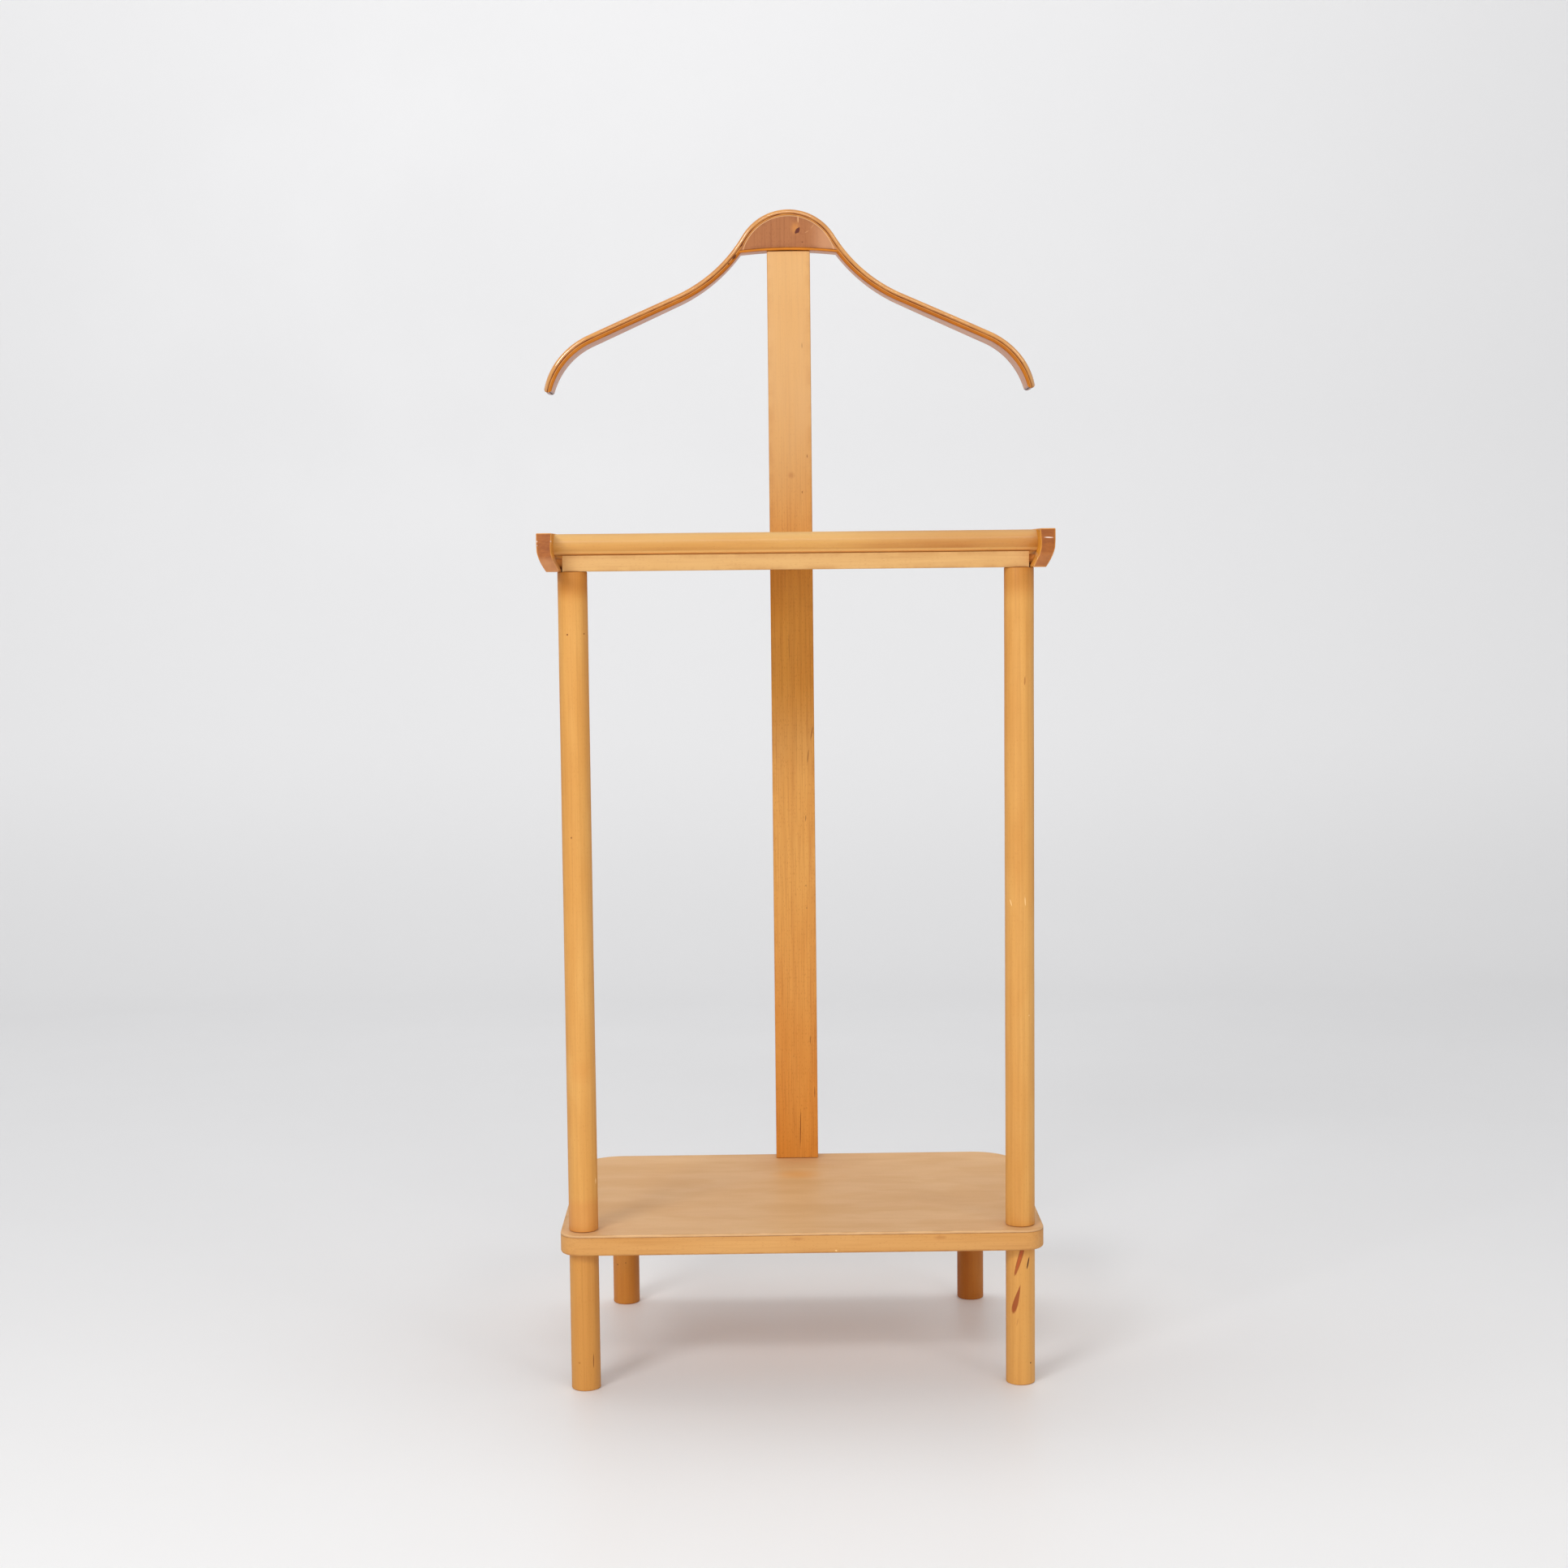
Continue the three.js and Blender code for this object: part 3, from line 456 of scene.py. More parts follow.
def steel(name, pitch=0.0):
    """Bright zinc-plated steel with fine turning marks, and thread lines where a pitch is given."""
    shader = Shader(name)
    place = shader.add("ShaderNodeTexCoord").outputs["Object"]
    along = shader.add("ShaderNodeSeparateXYZ", {0: place}).outputs[2]
    wear = shader.noise(shader.scaled(place, 700, 700), 3.0)
    tint = shader.mix(shader.ramp(wear, 0.35, 0.7), linear(202, 200, 192), linear(160, 156, 146))
    scratches = shader.noise(shader.scaled(place, 3000, 3000, 500), 2.0)
    height = shader.times(scratches, 0.3)
    if pitch:
        turns = shader.math("SINE", shader.times(along, 2 * math.pi / pitch))
        height = shader.math("ADD", height, turns)
    bump = shader.bump(0.6, 0.3 * MM, height)
    rough = shader.ramp(wear, 0.3, 0.8, 0.24, 0.42)
    return shader.finish({"Base Color": tint, "Metallic": 1.0, "Roughness": rough, "Normal": bump})


def palette(pale, mid, deep, end):
    return dict(pale=linear(*pale), mid=linear(*mid), deep=linear(*deep), end=linear(*end))


GLUE = linear(98, 32, 6)
HONEY = palette((219, 163, 88), (205, 141, 65), (162, 92, 32), (172, 106, 46))
BOARD = palette((220, 160, 82), (209, 142, 64), (166, 94, 34), (176, 110, 48))
LIGHT = palette((220, 166, 100), (211, 152, 82), (174, 108, 48), (186, 124, 64))
RAIL = palette((214, 168, 108), (205, 154, 89), (170, 110, 53), (180, 125, 69))
SHEET = palette((225, 180, 127), (214, 165, 111), (176, 122, 66), (160, 98, 48))
REDDISH = palette((172, 110, 66), (160, 96, 54), (122, 64, 32), (170, 104, 56))
ARM = palette((220, 150, 66), (204, 132, 52), (124, 60, 18), (164, 94, 38))
STRIP = palette((220, 158, 82), (205, 136, 58), (160, 86, 30), (158, 86, 36))
LINER = palette((216, 148, 74), (200, 128, 54), (150, 78, 24), (150, 80, 34))
AMBER = palette((212, 132, 36), (194, 110, 22), (140, 68, 12), (150, 78, 28))
# The pins' beech, paler and more orange than the wood round them: partly their own colour, partly painted
# light in the shaded gaps beside the front rail.
PIN_WOOD_AND_LIGHT = palette((236, 164, 84), (220, 146, 66), (170, 100, 40), (190, 124, 60))
BROWN = linear(112, 52, 16)
DARK = linear(84, 38, 14)
KNOT = linear(150, 68, 24)
SCUFF = linear(246, 208, 150)
# Painted highlight: a pale colour for glints of light on the tray arms' lacquered ends.
PAINTED_HIGHLIGHT = linear(240, 214, 196)


# ---------------------------------------------------------------- round stock

JOINT = 0.28 * MM


def round_piece(node, seed, axis="z", end_radius=0.8 * MM, **looks):
    low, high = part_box(node)
    centre = (low + high) / 2
    if axis == "z":
        radius, span, place = (high.x - low.x) / 2, (low.z, high.z + JOINT), (centre.x, centre.y)
    else:
        radius, span, place = (high.z - low.z) / 2, (low.x, high.x), (centre.y, centre.z)
    skin = prism(circle(radius), axis, *span, end_radius, 12 * MM, place, uneven=0.12 * MM)
    material = wood(node + "_wood", seed=seed, **HONEY, **looks)
    skin.piece(node + "_turned", material, [node], "honey")


# Marks: most places were picked by eye in the photograph, and a scratch program gave them in millimetres.

def post_marks():
    """Specks, scuffs and scratches on the two posts."""
    left, right = "front_post_left", "front_post_right"
    on_left = [
        streak(left, (-4.2, 651), (-4.2, 650), 1.6, BROWN),
        streak(left, (9.6, 651.5), (9.6, 650.5), 1.6, BROWN, strength=0.7),
        streak(left, (-3.8, 480), (-3.8, 478.5), 1.4, BROWN),
        streak(left, (11.2, 187), (11.6, 178), 1.4, SCUFF, strength=0.7),
        streak(left, (0.0, 280.5), (0.0, 277), 30, linear(204, 126, 52), strength=0.2, soft=0.9),
    ]
    on_right = [
        streak(right, (3.8, 612), (3.4, 603), 1.6, KNOT, strength=0.5),
        streak(right, (-9.3, 423), (-7.4, 416), 0.9, SCUFF, strength=0.8),
        streak(right, (3.4, 425), (3.8, 416), 0.9, SCUFF, strength=0.8),
        streak(right, (6.9, 323), (6.9, 322), 1.2, SCUFF, strength=0.7),
    ]
    return on_left, on_right


def leg_marks():
    """Two resin streaks and a knot on the right front leg, and small lines and dots on the others."""
    left, right, back = "front_leg_left", "front_leg_right", "back_leg_left"
    red, rust = linear(176, 84, 34), linear(150, 66, 26)
    on_right = [
        streak(right, (3.6, 130), (-6.6, 94.5), 4.2, rust, taper=-0.15, soft=0.2, ragged=0.15, strength=0.85),
        streak(right, (3.0, 128), (-5.9, 97), 2.6, red, taper=-0.15, soft=0.6, ragged=0.15),
        streak(right, (6.7, 113.5), (4.3, 101.5), 1.5, DARK, soft=0.3, ragged=0.2),
        streak(right, (-0.8, 90), (-8.0, 61.5), 4.4, rust, taper=0.7, soft=0.25, ragged=0.15, strength=0.9),
        streak(right, (7.8, 20), (7.8, 18.4), 1.4, DARK),
        streak(right, (-3.0, 60), (-4.5, 52), 1.0, KNOT, strength=0.3),
    ]
    on_left = [
        streak(left, (7.3, 34), (7.1, 19), 0.9, BROWN, strength=0.8),
        streak(left, (-4.9, 26), (-4.9, 24), 3.0, KNOT, strength=0.4, soft=0.8),
    ]
    on_back = [
        streak(back, (-7.8, 39.3), (-7.8, 38), 1.5, DARK, strength=0.8),
        streak(back, (0.1, 41.4), (0.1, 40.4), 1.3, DARK, strength=0.7),
    ]
    return on_left, on_right, on_back


def posts_and_legs():
    left_marks, right_marks = post_marks()
    redder = tone(0.172, 0.160, (202, 128, 62), amount=0.5)
    # Painted shade: both posts' tops darker, under the tray.
    left_top_shade = tone(0.675, 0.692, (226, 202, 160), blend="MULTIPLY")
    right_top_shade = tone(0.672, 0.692, (234, 216, 190), blend="MULTIPLY")
    post = dict(figure=0.6, mottle=0.4)
    round_piece("front_post_left", 3, tones=[redder, left_top_shade], marks=left_marks, **post)
    round_piece("front_post_right", 4, tones=[right_top_shade], marks=right_marks, **post)
    left_marks, right_marks, back_marks = leg_marks()
    foot = 1.2 * MM
    # The back legs' tints are partly their own deeper tone and partly painted shade, as they stand in the
    # shelf's shadow.
    browner, darker, deep_tone_and_shade = tint_and_shade(245, 240, 232), tint_and_shade(234, 205, 152), tint_and_shade(203, 155, 54)
    round_piece("front_leg_left", 11, end_radius=foot, figure=0.7, tones=[browner], marks=left_marks)
    round_piece("front_leg_right", 12, end_radius=foot, figure=0.5, marks=right_marks)
    round_piece("back_leg_left", 17, end_radius=foot, figure=0.7, tones=[darker], marks=back_marks)
    round_piece("back_leg_right", 18, end_radius=foot, figure=0.7, tones=[deep_tone_and_shade])


def trouser_bar():
    tones = [
        # Painted shade: the bar's right half darker, on the side away from the main lamp.
        tone(0.0, 0.14, (226, 202, 172), axis=0, blend="MULTIPLY"),
        tint_and_shade(249, 255, 255),
        # Painted highlight: the top of the bar paler, standing in for lacquer shine from above.
        tone(0.723, 0.732, (222, 184, 124), amount=0.5),
        # Painted light: the underside lighter, softening the shade where the bar meets the rail.
        tone(0.7205, 0.7180, (255, 206, 130), amount=1.0),
    ]
    round_piece(
        "trouser_bar", 23, axis="x", figure=1.0, mottle=0.7, bands=0.5, long=1.6, coat=0.4,
        coat_roughness=0.16, tones=tones,
    )


posts_and_legs()
trouser_bar()


# ---------------------------------------------------------------- upright

def board_marks():
    """Pin knots, dashes and dark growth marks down the upright's front."""
    node = "back_upright"
    faint = dict(strength=0.4, soft=0.6)
    thin = dict(strength=0.6, soft=0.5)
    return [
        streak(node, (11.8, 914), (11.8, 907), 1.2, BROWN, **faint),
        streak(node, (15.7, 810), (15.7, 806), 1.3, BROWN, **thin),
        streak(node, (0.7, 795), (0.7, 786), 9, KNOT, strength=0.28, soft=0.9),
        streak(node, (10.8, 776), (10.8, 773), 1.4, BROWN, **thin),
        streak(node, (-3.2, 648), (-3.0, 612), 0.9, BROWN, **faint),
        streak(node, (19.1, 556), (16.1, 540), 1.3, BROWN, **thin),
        streak(node, (14.8, 534), (12.7, 517), 1.3, BROWN, **thin),
        streak(node, (11.4, 471), (10.8, 463), 1.2, BROWN, **thin),
        streak(node, (10.7, 403.5), (10.7, 401.5), 1.3, BROWN, **thin),
        streak(node, (11.3, 382), (11.3, 380), 1.3, BROWN, **thin),
        streak(node, (13.5, 259), (13.4, 249), 1.1, BROWN, **thin),
        streak(node, (-2.5, 239), (-2.5, 237.5), 1.2, BROWN, **faint),
        streak(node, (17.3, 210), (17.2, 196), 1.1, BROWN, **thin),
        streak(node, (9.4, 188.5), (9.4, 187), 1.2, BROWN, **faint),
        streak(node, (3.7, 187), (2.8, 147), 1.2, BROWN, strength=0.75),
    ]


def upright():
    half = (board_high.x - board_low.x) / 2
    outline = rounded(oblong(-half, board_low.y, half, board_high.y, 1.2 * MM), 4, 5 * MM)
    skin = prism(outline, "z", board_low.z, board_high.z, 0.6 * MM, 30 * MM)
    paler = tone(0.70, 0.86, (222, 176, 120), amount=0.8)
    ruddy = tone(0.48, 0.14, (250, 226, 184), blend="MULTIPLY")
    # Painted shade under the tray: the board darker and warmer there, partly the wood's own tone and partly
    # the tray's shadow.
    under_tray_shade = tone(0.53, 0.60, (253, 240, 180), blend="MULTIPLY", fade=0.704, gone=0.712)
    look = wood(
        "upright_wood", seed=31, **BOARD, figure=0.35, bands=0.3, lines=0.65, flecks=1.0, mottle=0.35,
        tones=[paler, ruddy, under_tray_shade], marks=board_marks(), wear=0.15,
    )
    skin.piece("upright_board", look, ["back_upright"], "honey")


upright()


# ---------------------------------------------------------------- shelf

FRONT_RADIUS, BACK_RADIUS = 18 * MM, 40 * MM
EDGING_WIDTH = 25 * MM
ARC_STEPS = 16
CORNER_POINTS = ARC_STEPS + 1
SHEET_ROUND, EDGING_ROUND = 0.9 * MM, 2.2 * MM


def shelf_outline(drop=0.0):
    """The shelf's plan, anticlockwise from its right front corner, moved inwards by drop."""
    half = sheet_high.x - drop
    front, back = sheet_low.y + drop, sheet_high.y - drop
    front_radius, back_radius = FRONT_RADIUS - drop, BACK_RADIUS - drop
    corners = [
        (half - front_radius, front + front_radius, front_radius, -90),
        (half - back_radius, back - back_radius, back_radius, 0),
        (-half + back_radius, back - back_radius, back_radius, 90),
        (-half + front_radius, front + front_radius, front_radius, 180),
    ]
    outline = []
    for x, y, radius, start in corners:
        for k in range(CORNER_POINTS):
            a = math.radians(start + 90 * k / ARC_STEPS)
            outline.append((x + radius * math.cos(a), y + radius * math.sin(a)))
    return outline


def shelf_sheet():
    top, bottom = sheet_high.z, sheet_low.z
    levels = [(0.2 * MM, bottom, 0.5), (0.0, bottom + 0.2 * MM, 0.4), (0.0, bottom + 0.7 * MM, 0.15)]
    for k, (sin, cos) in enumerate(quarter(4)):
        levels.append((SHEET_ROUND * (1 - cos), top - SHEET_ROUND * (1 - sin), 0.0 if k else 0.25))
    levels.append((4 * MM, top, 0.0))
    skin = Skin()
    rings = []
    for drop, z, glue in levels:
        points = [Vector((x, y, z)) for x, y in shelf_outline(drop)]
        worn = 1.0 if z > top - SHEET_ROUND * 0.9 and drop < 3 * MM else 0.0
        rings.append(skin.ring(points, points, [worn] * len(points), glue=[glue] * len(points)))
    skin.tube(rings)
    amber_patch = {
        "at": (-0.001, 0.063, top), "half": (0.028, 0.024, 0.01), "colour": linear(222, 150, 70),
        "soft": 0.95, "strength": 0.5,
    }
    look = wood(
        "shelf_sheet_wood", seed=41, **SHEET, figure=0.35, bands=0.08, lines=0.12, flecks=0.25, mottle=0.6,
        long=0.35, roughness=0.46, gloss=0.45, marks=[amber_patch],
    )
    skin.piece("shelf_sheet", look, ["shelf_top_sheet"], "sheet")


def edging_member(node, start, inner, grain_axis):
    """One mitred member of the shelf's frame, from one corner's middle point, start, to the next one's."""
    bottom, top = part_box(node)[0].z, sheet_low.z - 0.05 * MM
    levels = [(0.2 * MM, top, 0.5), (0.0, top - 0.2 * MM, 0.35), (0.0, top - 0.7 * MM, 0.0)]
    levels += [(0.0, top + (bottom + 2 * MM - top) * share, 0.0) for share in (0.3, 0.55, 0.8)]
    levels += [(EDGING_ROUND * (1 - cos), bottom + EDGING_ROUND * (1 - sin), 0.0) for sin, cos in quarter(5)]
    outlines = [shelf_outline(drop) for drop, _, _ in levels]
    edges = [1.0 if z < bottom + EDGING_ROUND * 0.9 else 0.0 for _, z, _ in levels] + [0.0, 0.0]
    glues = [glue for _, _, glue in levels] + [0.0, 0.0]
    skin = Skin()
    sections = []
    for k in range(CORNER_POINTS + 1):
        i = (start + k) % len(outlines[0])
        points = [Vector((*outline[i], z)) for (_, z, _), outline in zip(levels, outlines, strict=True)]
        x, y = outlines[0][i]
        inside = Vector((min(max(x, inner[0]), inner[1]), min(max(y, inner[2]), inner[3]), bottom))
        points += [inside, Vector((inside.x, inside.y, top))]
        sections.append(skin.ring(points, [GRAINS[grain_axis](p) for p in points], edges, glue=glues))
    skin.tube(sections)
    return skin


def front_edging_marks():
    node = "shelf_front_edging"
    return [
        streak(node, (110, 133.7), (125, 133.7), 5, KNOT, strength=0.3, soft=0.9),
        streak(node, (-14, 134), (4, 134), 4, KNOT, strength=0.3, soft=0.9),
        streak(node, (27.5, 123.6), (29.5, 123.2), 1.6, SCUFF, strength=0.8),
    ]


def shelf_edging():
    """The four members meet at 45 degrees in the middles of the corners."""
    half = sheet_high.x - EDGING_WIDTH
    front, back = sheet_low.y + EDGING_WIDTH, sheet_high.y - EDGING_WIDTH
    members = [
        ("right", (half, half, front, back), "y"),
        ("back", (-half, half, back, back), "x"),
        ("left", (-half, -half, front, back), "y"),
        ("front", (-half, half, front, front), "x"),
    ]
    for index, (side, inner, axis) in enumerate(members):
        node = "shelf_" + side + "_edging"
        skin = edging_member(node, ARC_STEPS // 2 + index * CORNER_POINTS, inner, axis)
        look = wood(
            node + "_wood", seed=51 + index * 2, **LIGHT, figure=0.9, bands=0.3, lines=0.35, flecks=0.5,
            tones=[tint_and_shade(243, 238, 232)], marks=front_edging_marks() if side == "front" else (),
        )
        skin.piece("shelf_" + side + "_lipping", look, [node], "light")


def panel(name, node, slot, **looks):
    """A thin board with nearly sharp edges: the shelf's core, and the tray's bottom."""
    low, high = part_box(node)
    outline = rounded(oblong(low.x, low.y, high.x, high.y, 0.3 * MM), 2, 30 * MM)
    skin = prism(outline, "z", low.z, high.z, 0.2 * MM, 20 * MM, grain="x")
    skin.piece(name, wood(name + "_wood", **SHEET, figure=0.5, **looks), [node], slot)


shelf_sheet()
shelf_edging()
panel(
    "shelf_core", "shelf_core_panel", "plain", seed=61, bands=0.35, lines=0.3, flecks=0.3, mottle=0.5,
    roughness=0.55,
)


# ---------------------------------------------------------------- tray

def soften(outline, radius, steps=4):
    """Rounds the sharp corners of a polygon of (x, y, corner?) points."""
    softened = []
    for i, (x, y, corner) in enumerate(outline):
        if not corner:
            softened.append((x, y, 0.0))
            continue
        here = Vector((x, y))
        before = (Vector(outline[i - 1][:2]) - here).normalized()
        after = (Vector(outline[(i + 1) % len(outline)][:2]) - here).normalized()
        softened += corner_arc(here, before, after, radius, steps)
    return softened


ARM_THICKNESS, FLARE, FOOT_WIDTH = 13 * MM, 8 * MM, 11 * MM
OUTER_ROWS, INNER_ROWS = 10, 8


def arm_outline(node, sign):
    """The arm's section: upright at the top, curving inwards down to a narrower foot."""
    low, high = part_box(node)
    outer, top, bottom = max(high.x, -low.x), high.z, low.z
    inner, foot_outer = outer - ARM_THICKNESS, outer - FLARE
    foot_inner = foot_outer - FOOT_WIDTH
    bend_z = top - 14 * MM
    outline = [(inner, top, True), (outer, top, True)]
    outline += [(outer, top - 5 * MM, False), (outer, top - 10 * MM, False)]
    for k in range(1, OUTER_ROWS):
        share = k / OUTER_ROWS
        x = outer + (foot_outer - outer) * (0.35 * share + 0.65 * share * share)
        outline.append((x, bend_z + (bottom - bend_z) * share, False))
    outline += [(foot_outer, bottom, True), (foot_inner, bottom, True)]
    for k in range(1, INNER_ROWS):
        share = k / INNER_ROWS
        z = bottom + (top - 20 * MM - bottom) * share
        outline.append((foot_inner + (inner - foot_inner) * share, z, False))
    for bulge, drop in ((0.5, 17), (0.9, 12), (0.5, 6)):
        outline.append((inner + bulge * MM, top - drop * MM, False))
    return soften([(sign * x, z, corner) for x, z, corner in outline], 0.9 * MM)


def tray_arm(node, sign, seed, foot, tint, marks):
    low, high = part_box(node)
    skin = prism(arm_outline(node, sign), "y", low.y, high.y, 0.9 * MM, 12 * MM)
    look = wood(
        node + "_wood", seed=seed, **ARM, figure=0.6, bands=0.25, lines=0.25, flecks=0.3,
        roughness=0.32, gloss=0.35, coat=0.3, coat_roughness=0.08, marks=marks,
        tones=[tint_and_shade(*tint), tone(0.717, 0.711, (190, 132, 84), amount=foot)],
    )
    skin.piece(node + "_flared", look, [node], "reddish")


def tray_front_rail():
    low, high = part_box("tray_front_rail")
    radius, top = 0.5 * MM, high.z + JOINT
    corners = [(low.y, low.z, 2 * radius), *oblong(low.y, low.z, high.y, top, radius)[1:]]
    skin = prism(rounded(corners, 4, 3 * MM), "x", low.x, high.x, 0.4 * MM, 8 * MM)
    look = wood("tray_front_rail_wood", seed=69, **RAIL, figure=0.35, bands=0.3, lines=0.3, flecks=0.5)
    skin.piece("tray_front_rail_planed", look, ["tray_front_rail"], "light")


def tray_back_rail():
    """Its ends follow the arms' inner faces."""
    low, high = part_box("tray_back_rail")
    foot, bend, radius = 195.6 * MM, high.z - 20 * MM, 0.8 * MM
    right = [(foot, low.z, radius), (high.x, bend, radius), (high.x, high.z, radius)]
    outline = [(-foot, low.z, radius), *right, *[(-x, z, r) for x, z, r in reversed(right[1:])]]
    skin = prism(rounded(outline, 3, 12 * MM), "y", low.y, high.y, 0.9 * MM, 5 * MM, grain="x")
    look = wood("tray_back_rail_wood", seed=71, **LIGHT, figure=0.5, bands=0.4, lines=0.3, flecks=0.5)
    skin.piece("tray_back_rail_planed", look, ["tray_back_rail"], "light")


def left_arm_painted_highlights(node):
    """Three small painted highlights on the arm's end, where its lacquer catches the light."""
    low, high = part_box(node)
    edge = (high.x - (low.x + high.x) / 2) / MM
    return [
        streak(node, (-edge + 0.8, 729), (-edge + 0.8, 727.4), 1.8, PAINTED_HIGHLIGHT, strength=0.6, soft=0.7),
        streak(node, (-edge + 0.9, 725.4), (-edge + 0.9, 724.4), 1.4, PAINTED_HIGHLIGHT, strength=0.5, soft=0.7),
        streak(node, (2.2, 728.9), (3.2, 727.6), 1.8, PAINTED_HIGHLIGHT, strength=0.5, soft=0.7),
    ]


def right_arm_painted_highlights(node):
    """One long painted highlight across the arm's end."""
    return [streak(node, (-1.0, 727.6), (8.6, 727.2), 1.5, PAINTED_HIGHLIGHT, strength=0.75, soft=0.6)]


tray_arm("tray_arm_left", -1, 65, 0.8, (255, 255, 255), left_arm_painted_highlights("tray_arm_left"))
tray_arm("tray_arm_right", 1, 66, 0.3, (255, 252, 206), right_arm_painted_highlights("tray_arm_right"))
tray_front_rail()
tray_back_rail()
panel(
    "tray_panel", "tray_bottom_panel", "sheet", seed=73, bands=0.4, lines=0.4, flecks=0.35, mottle=0.2,
    roughness=0.48,
)


# ---------------------------------------------------------------- hanger

HUMP, SWEEP, SHOULDER = 50.4 * MM, 140 * MM, 76 * MM
HUMP_TURN, ARM_TURN, TIP_TURN = math.radians(57), math.radians(24), math.radians(76)
NECK, ARM_LENGTH = 4.5 * MM, 90 * MM
STACK = 8 * MM
LENGTHS = [
    HUMP * HUMP_TURN, NECK, SWEEP * (HUMP_TURN - ARM_TURN), ARM_LENGTH, SHOULDER * (TIP_TURN - ARM_TURN),
]
BEND_RADII = [HUMP, None, -SWEEP, None, SHOULDER]
HALF_LENGTH = sum(LENGTHS)
UPPER_END, INNER_END = 3.72 * MM, 5.56 * MM
GLUE_GAP = 0.03 * MM
GLUE_LINE = 1.1 * MM
LOWER_TOP = INNER_END + GLUE_GAP
EDGE_STEPS = 5
FINE_STATIONS = [0.0006, 0.0015, 0.003, 0.006, 0.01, 0.016]
ARCH_RADIUS = 405 * MM
RIM_THICKNESS = 2.3 * MM
RIM_GAP = 0.05 * MM
WAIST_HALF, FLARE_BY, TIP_HALF, TIP_ROUND = 11.5, 9.5, 7 * MM, 14 * MM
NOSE_ROUND = 4.4 * MM


def hanger_frame(run):
    """Place and slope of the hanger's top line at a distance along it from the crown."""
    side = -1 if run < 0 else 1
    left = abs(run)
    x, z, slope = 0.0, crown_z, 0.0
    for index, (length, radius) in enumerate(zip(LENGTHS, BEND_RADII, strict=True)):
        part = left if index == len(LENGTHS) - 1 else min(left, length)
        if radius is None:
            x += part * math.cos(slope)
            z -= part * math.sin(slope)
        else:
            after = slope + part / radius
            x += radius * (math.sin(after) - math.sin(slope))
            z -= radius * (math.cos(slope) - math.cos(after))
            slope = after
        left -= part
        if left <= 0:
            break
    return side * x, z, side * slope


def hanger_point(run, depth):
    x, z, slope = hanger_frame(run)
    return x - depth * math.sin(slope), z - depth * math.cos(slope)


def half_depth(x):
    """Half the hanger's depth: 11.5 mm at the waist, 21 mm at the shoulders, rounded in at the tips."""
    share = min(1, max(0, (abs(x) / MM - 30) / 160))
    wide = (WAIST_HALF + FLARE_BY * share * share * (3 - 2 * share)) * MM
    past = abs(x) - (crown_high.x - TIP_ROUND)
    if past > 0:
        wide = TIP_HALF + math.sqrt(max(0.0, TIP_ROUND * TIP_ROUND - min(past, TIP_ROUND) ** 2))
    return wide


def bullnose(depth):
    """How far the hanger's rounded front and back edges fall away at a depth in the stack."""
    return (depth - 4.2 * MM) ** 2 / (18 * MM)


def lamella_face(level, inwards, radius, glue):
    """Half a face and its edge: (share of half depth, radius taken off it, offset, depth, edge, glue)."""
    face = [(share, radius, 0.0, level, 0.0, 0.0) for share in (0.0, 0.3, 0.6, 0.85)]
    worn = 0.0 if glue else 1.0
    for k, (sin, cos) in enumerate(quarter(EDGE_STEPS)):
        line = glue if k >= EDGE_STEPS - 1 else 0.0
        face.append((1.0, radius, radius * sin, level + inwards * radius * (1 - cos), worn, line))
    return face


def lamella_section(top, bottom, top_radius, bottom_radius, top_glue, bottom_glue):
    """Points round a lamella, as lamella_face gives them, from the middle of its top face."""
    first, last = top + top_radius, bottom - bottom_radius
    half = lamella_face(top, 1, top_radius, top_glue)
    if top_glue:
        half.append((1.0, top_radius, top_radius, first + 0.5 * GLUE_LINE, 0.0, top_glue))
        first += GLUE_LINE
        half.append((1.0, top_radius, top_radius, first, 0.0, 0.0))
    if bottom_glue:
        last -= GLUE_LINE
    half.append((1.0, bottom_radius, bottom_radius, (first + last) / 2, 0.0, 0.0))
    if bottom_glue:
        half.append((1.0, bottom_radius, bottom_radius, last, 0.0, 0.0))
    half += reversed(lamella_face(bottom, -1, bottom_radius, bottom_glue))
    mirrored = [(-share, r, -offset, *rest) for share, r, offset, *rest in reversed(half[1:-1])]
    return half + mirrored


def tip_run(depth):
    """Where the rounded tip ends at a depth in the stack."""
    off = min(abs(depth - STACK / 2), NOSE_ROUND)
    return HALF_LENGTH - (NOSE_ROUND - math.sqrt(NOSE_ROUND * NOSE_ROUND - off * off))


def lamella(name, node, section, span, stations, colours, slot, seed, **looks):
    """A bent strip: span gives the first and last run at a depth; stations are shares of the way."""
    skin = Skin()
    rings = []
    last = len(stations) - 1
    for index, share in enumerate(stations):
        points, grains = [], []
        for part, radius, offset, depth, _, _ in section:
            first, end = span(depth)
            run = first + (end - first) * share
            x, z = hanger_point(run, depth)
            y = part * (half_depth(x) - radius - bullnose(depth)) + offset
            points.append(Vector((x, hanger_y + y, z)))
            grains.append((run, y, depth))
        edges, glues = [row[4] for row in section], [row[5] for row in section]
        rings.append(skin.ring(points, grains, edges, 1.0 if index in (0, last) else 0.0, glues))
    skin.tube(rings)
    skin.piece(name, wood(node + "_wood", seed=seed, **colours, **looks), [node], slot, 40)


def even_stations(count):
    """Shares from 0 to 1, with a few extra near the ends so that rounded tips are smooth."""
    inner = [k / count for k in range(1, count) if 0.02 < k / count < 0.98]
    return [0.0, *FINE_STATIONS, *inner, *[1 - e for e in reversed(FINE_STATIONS)], 1.0]


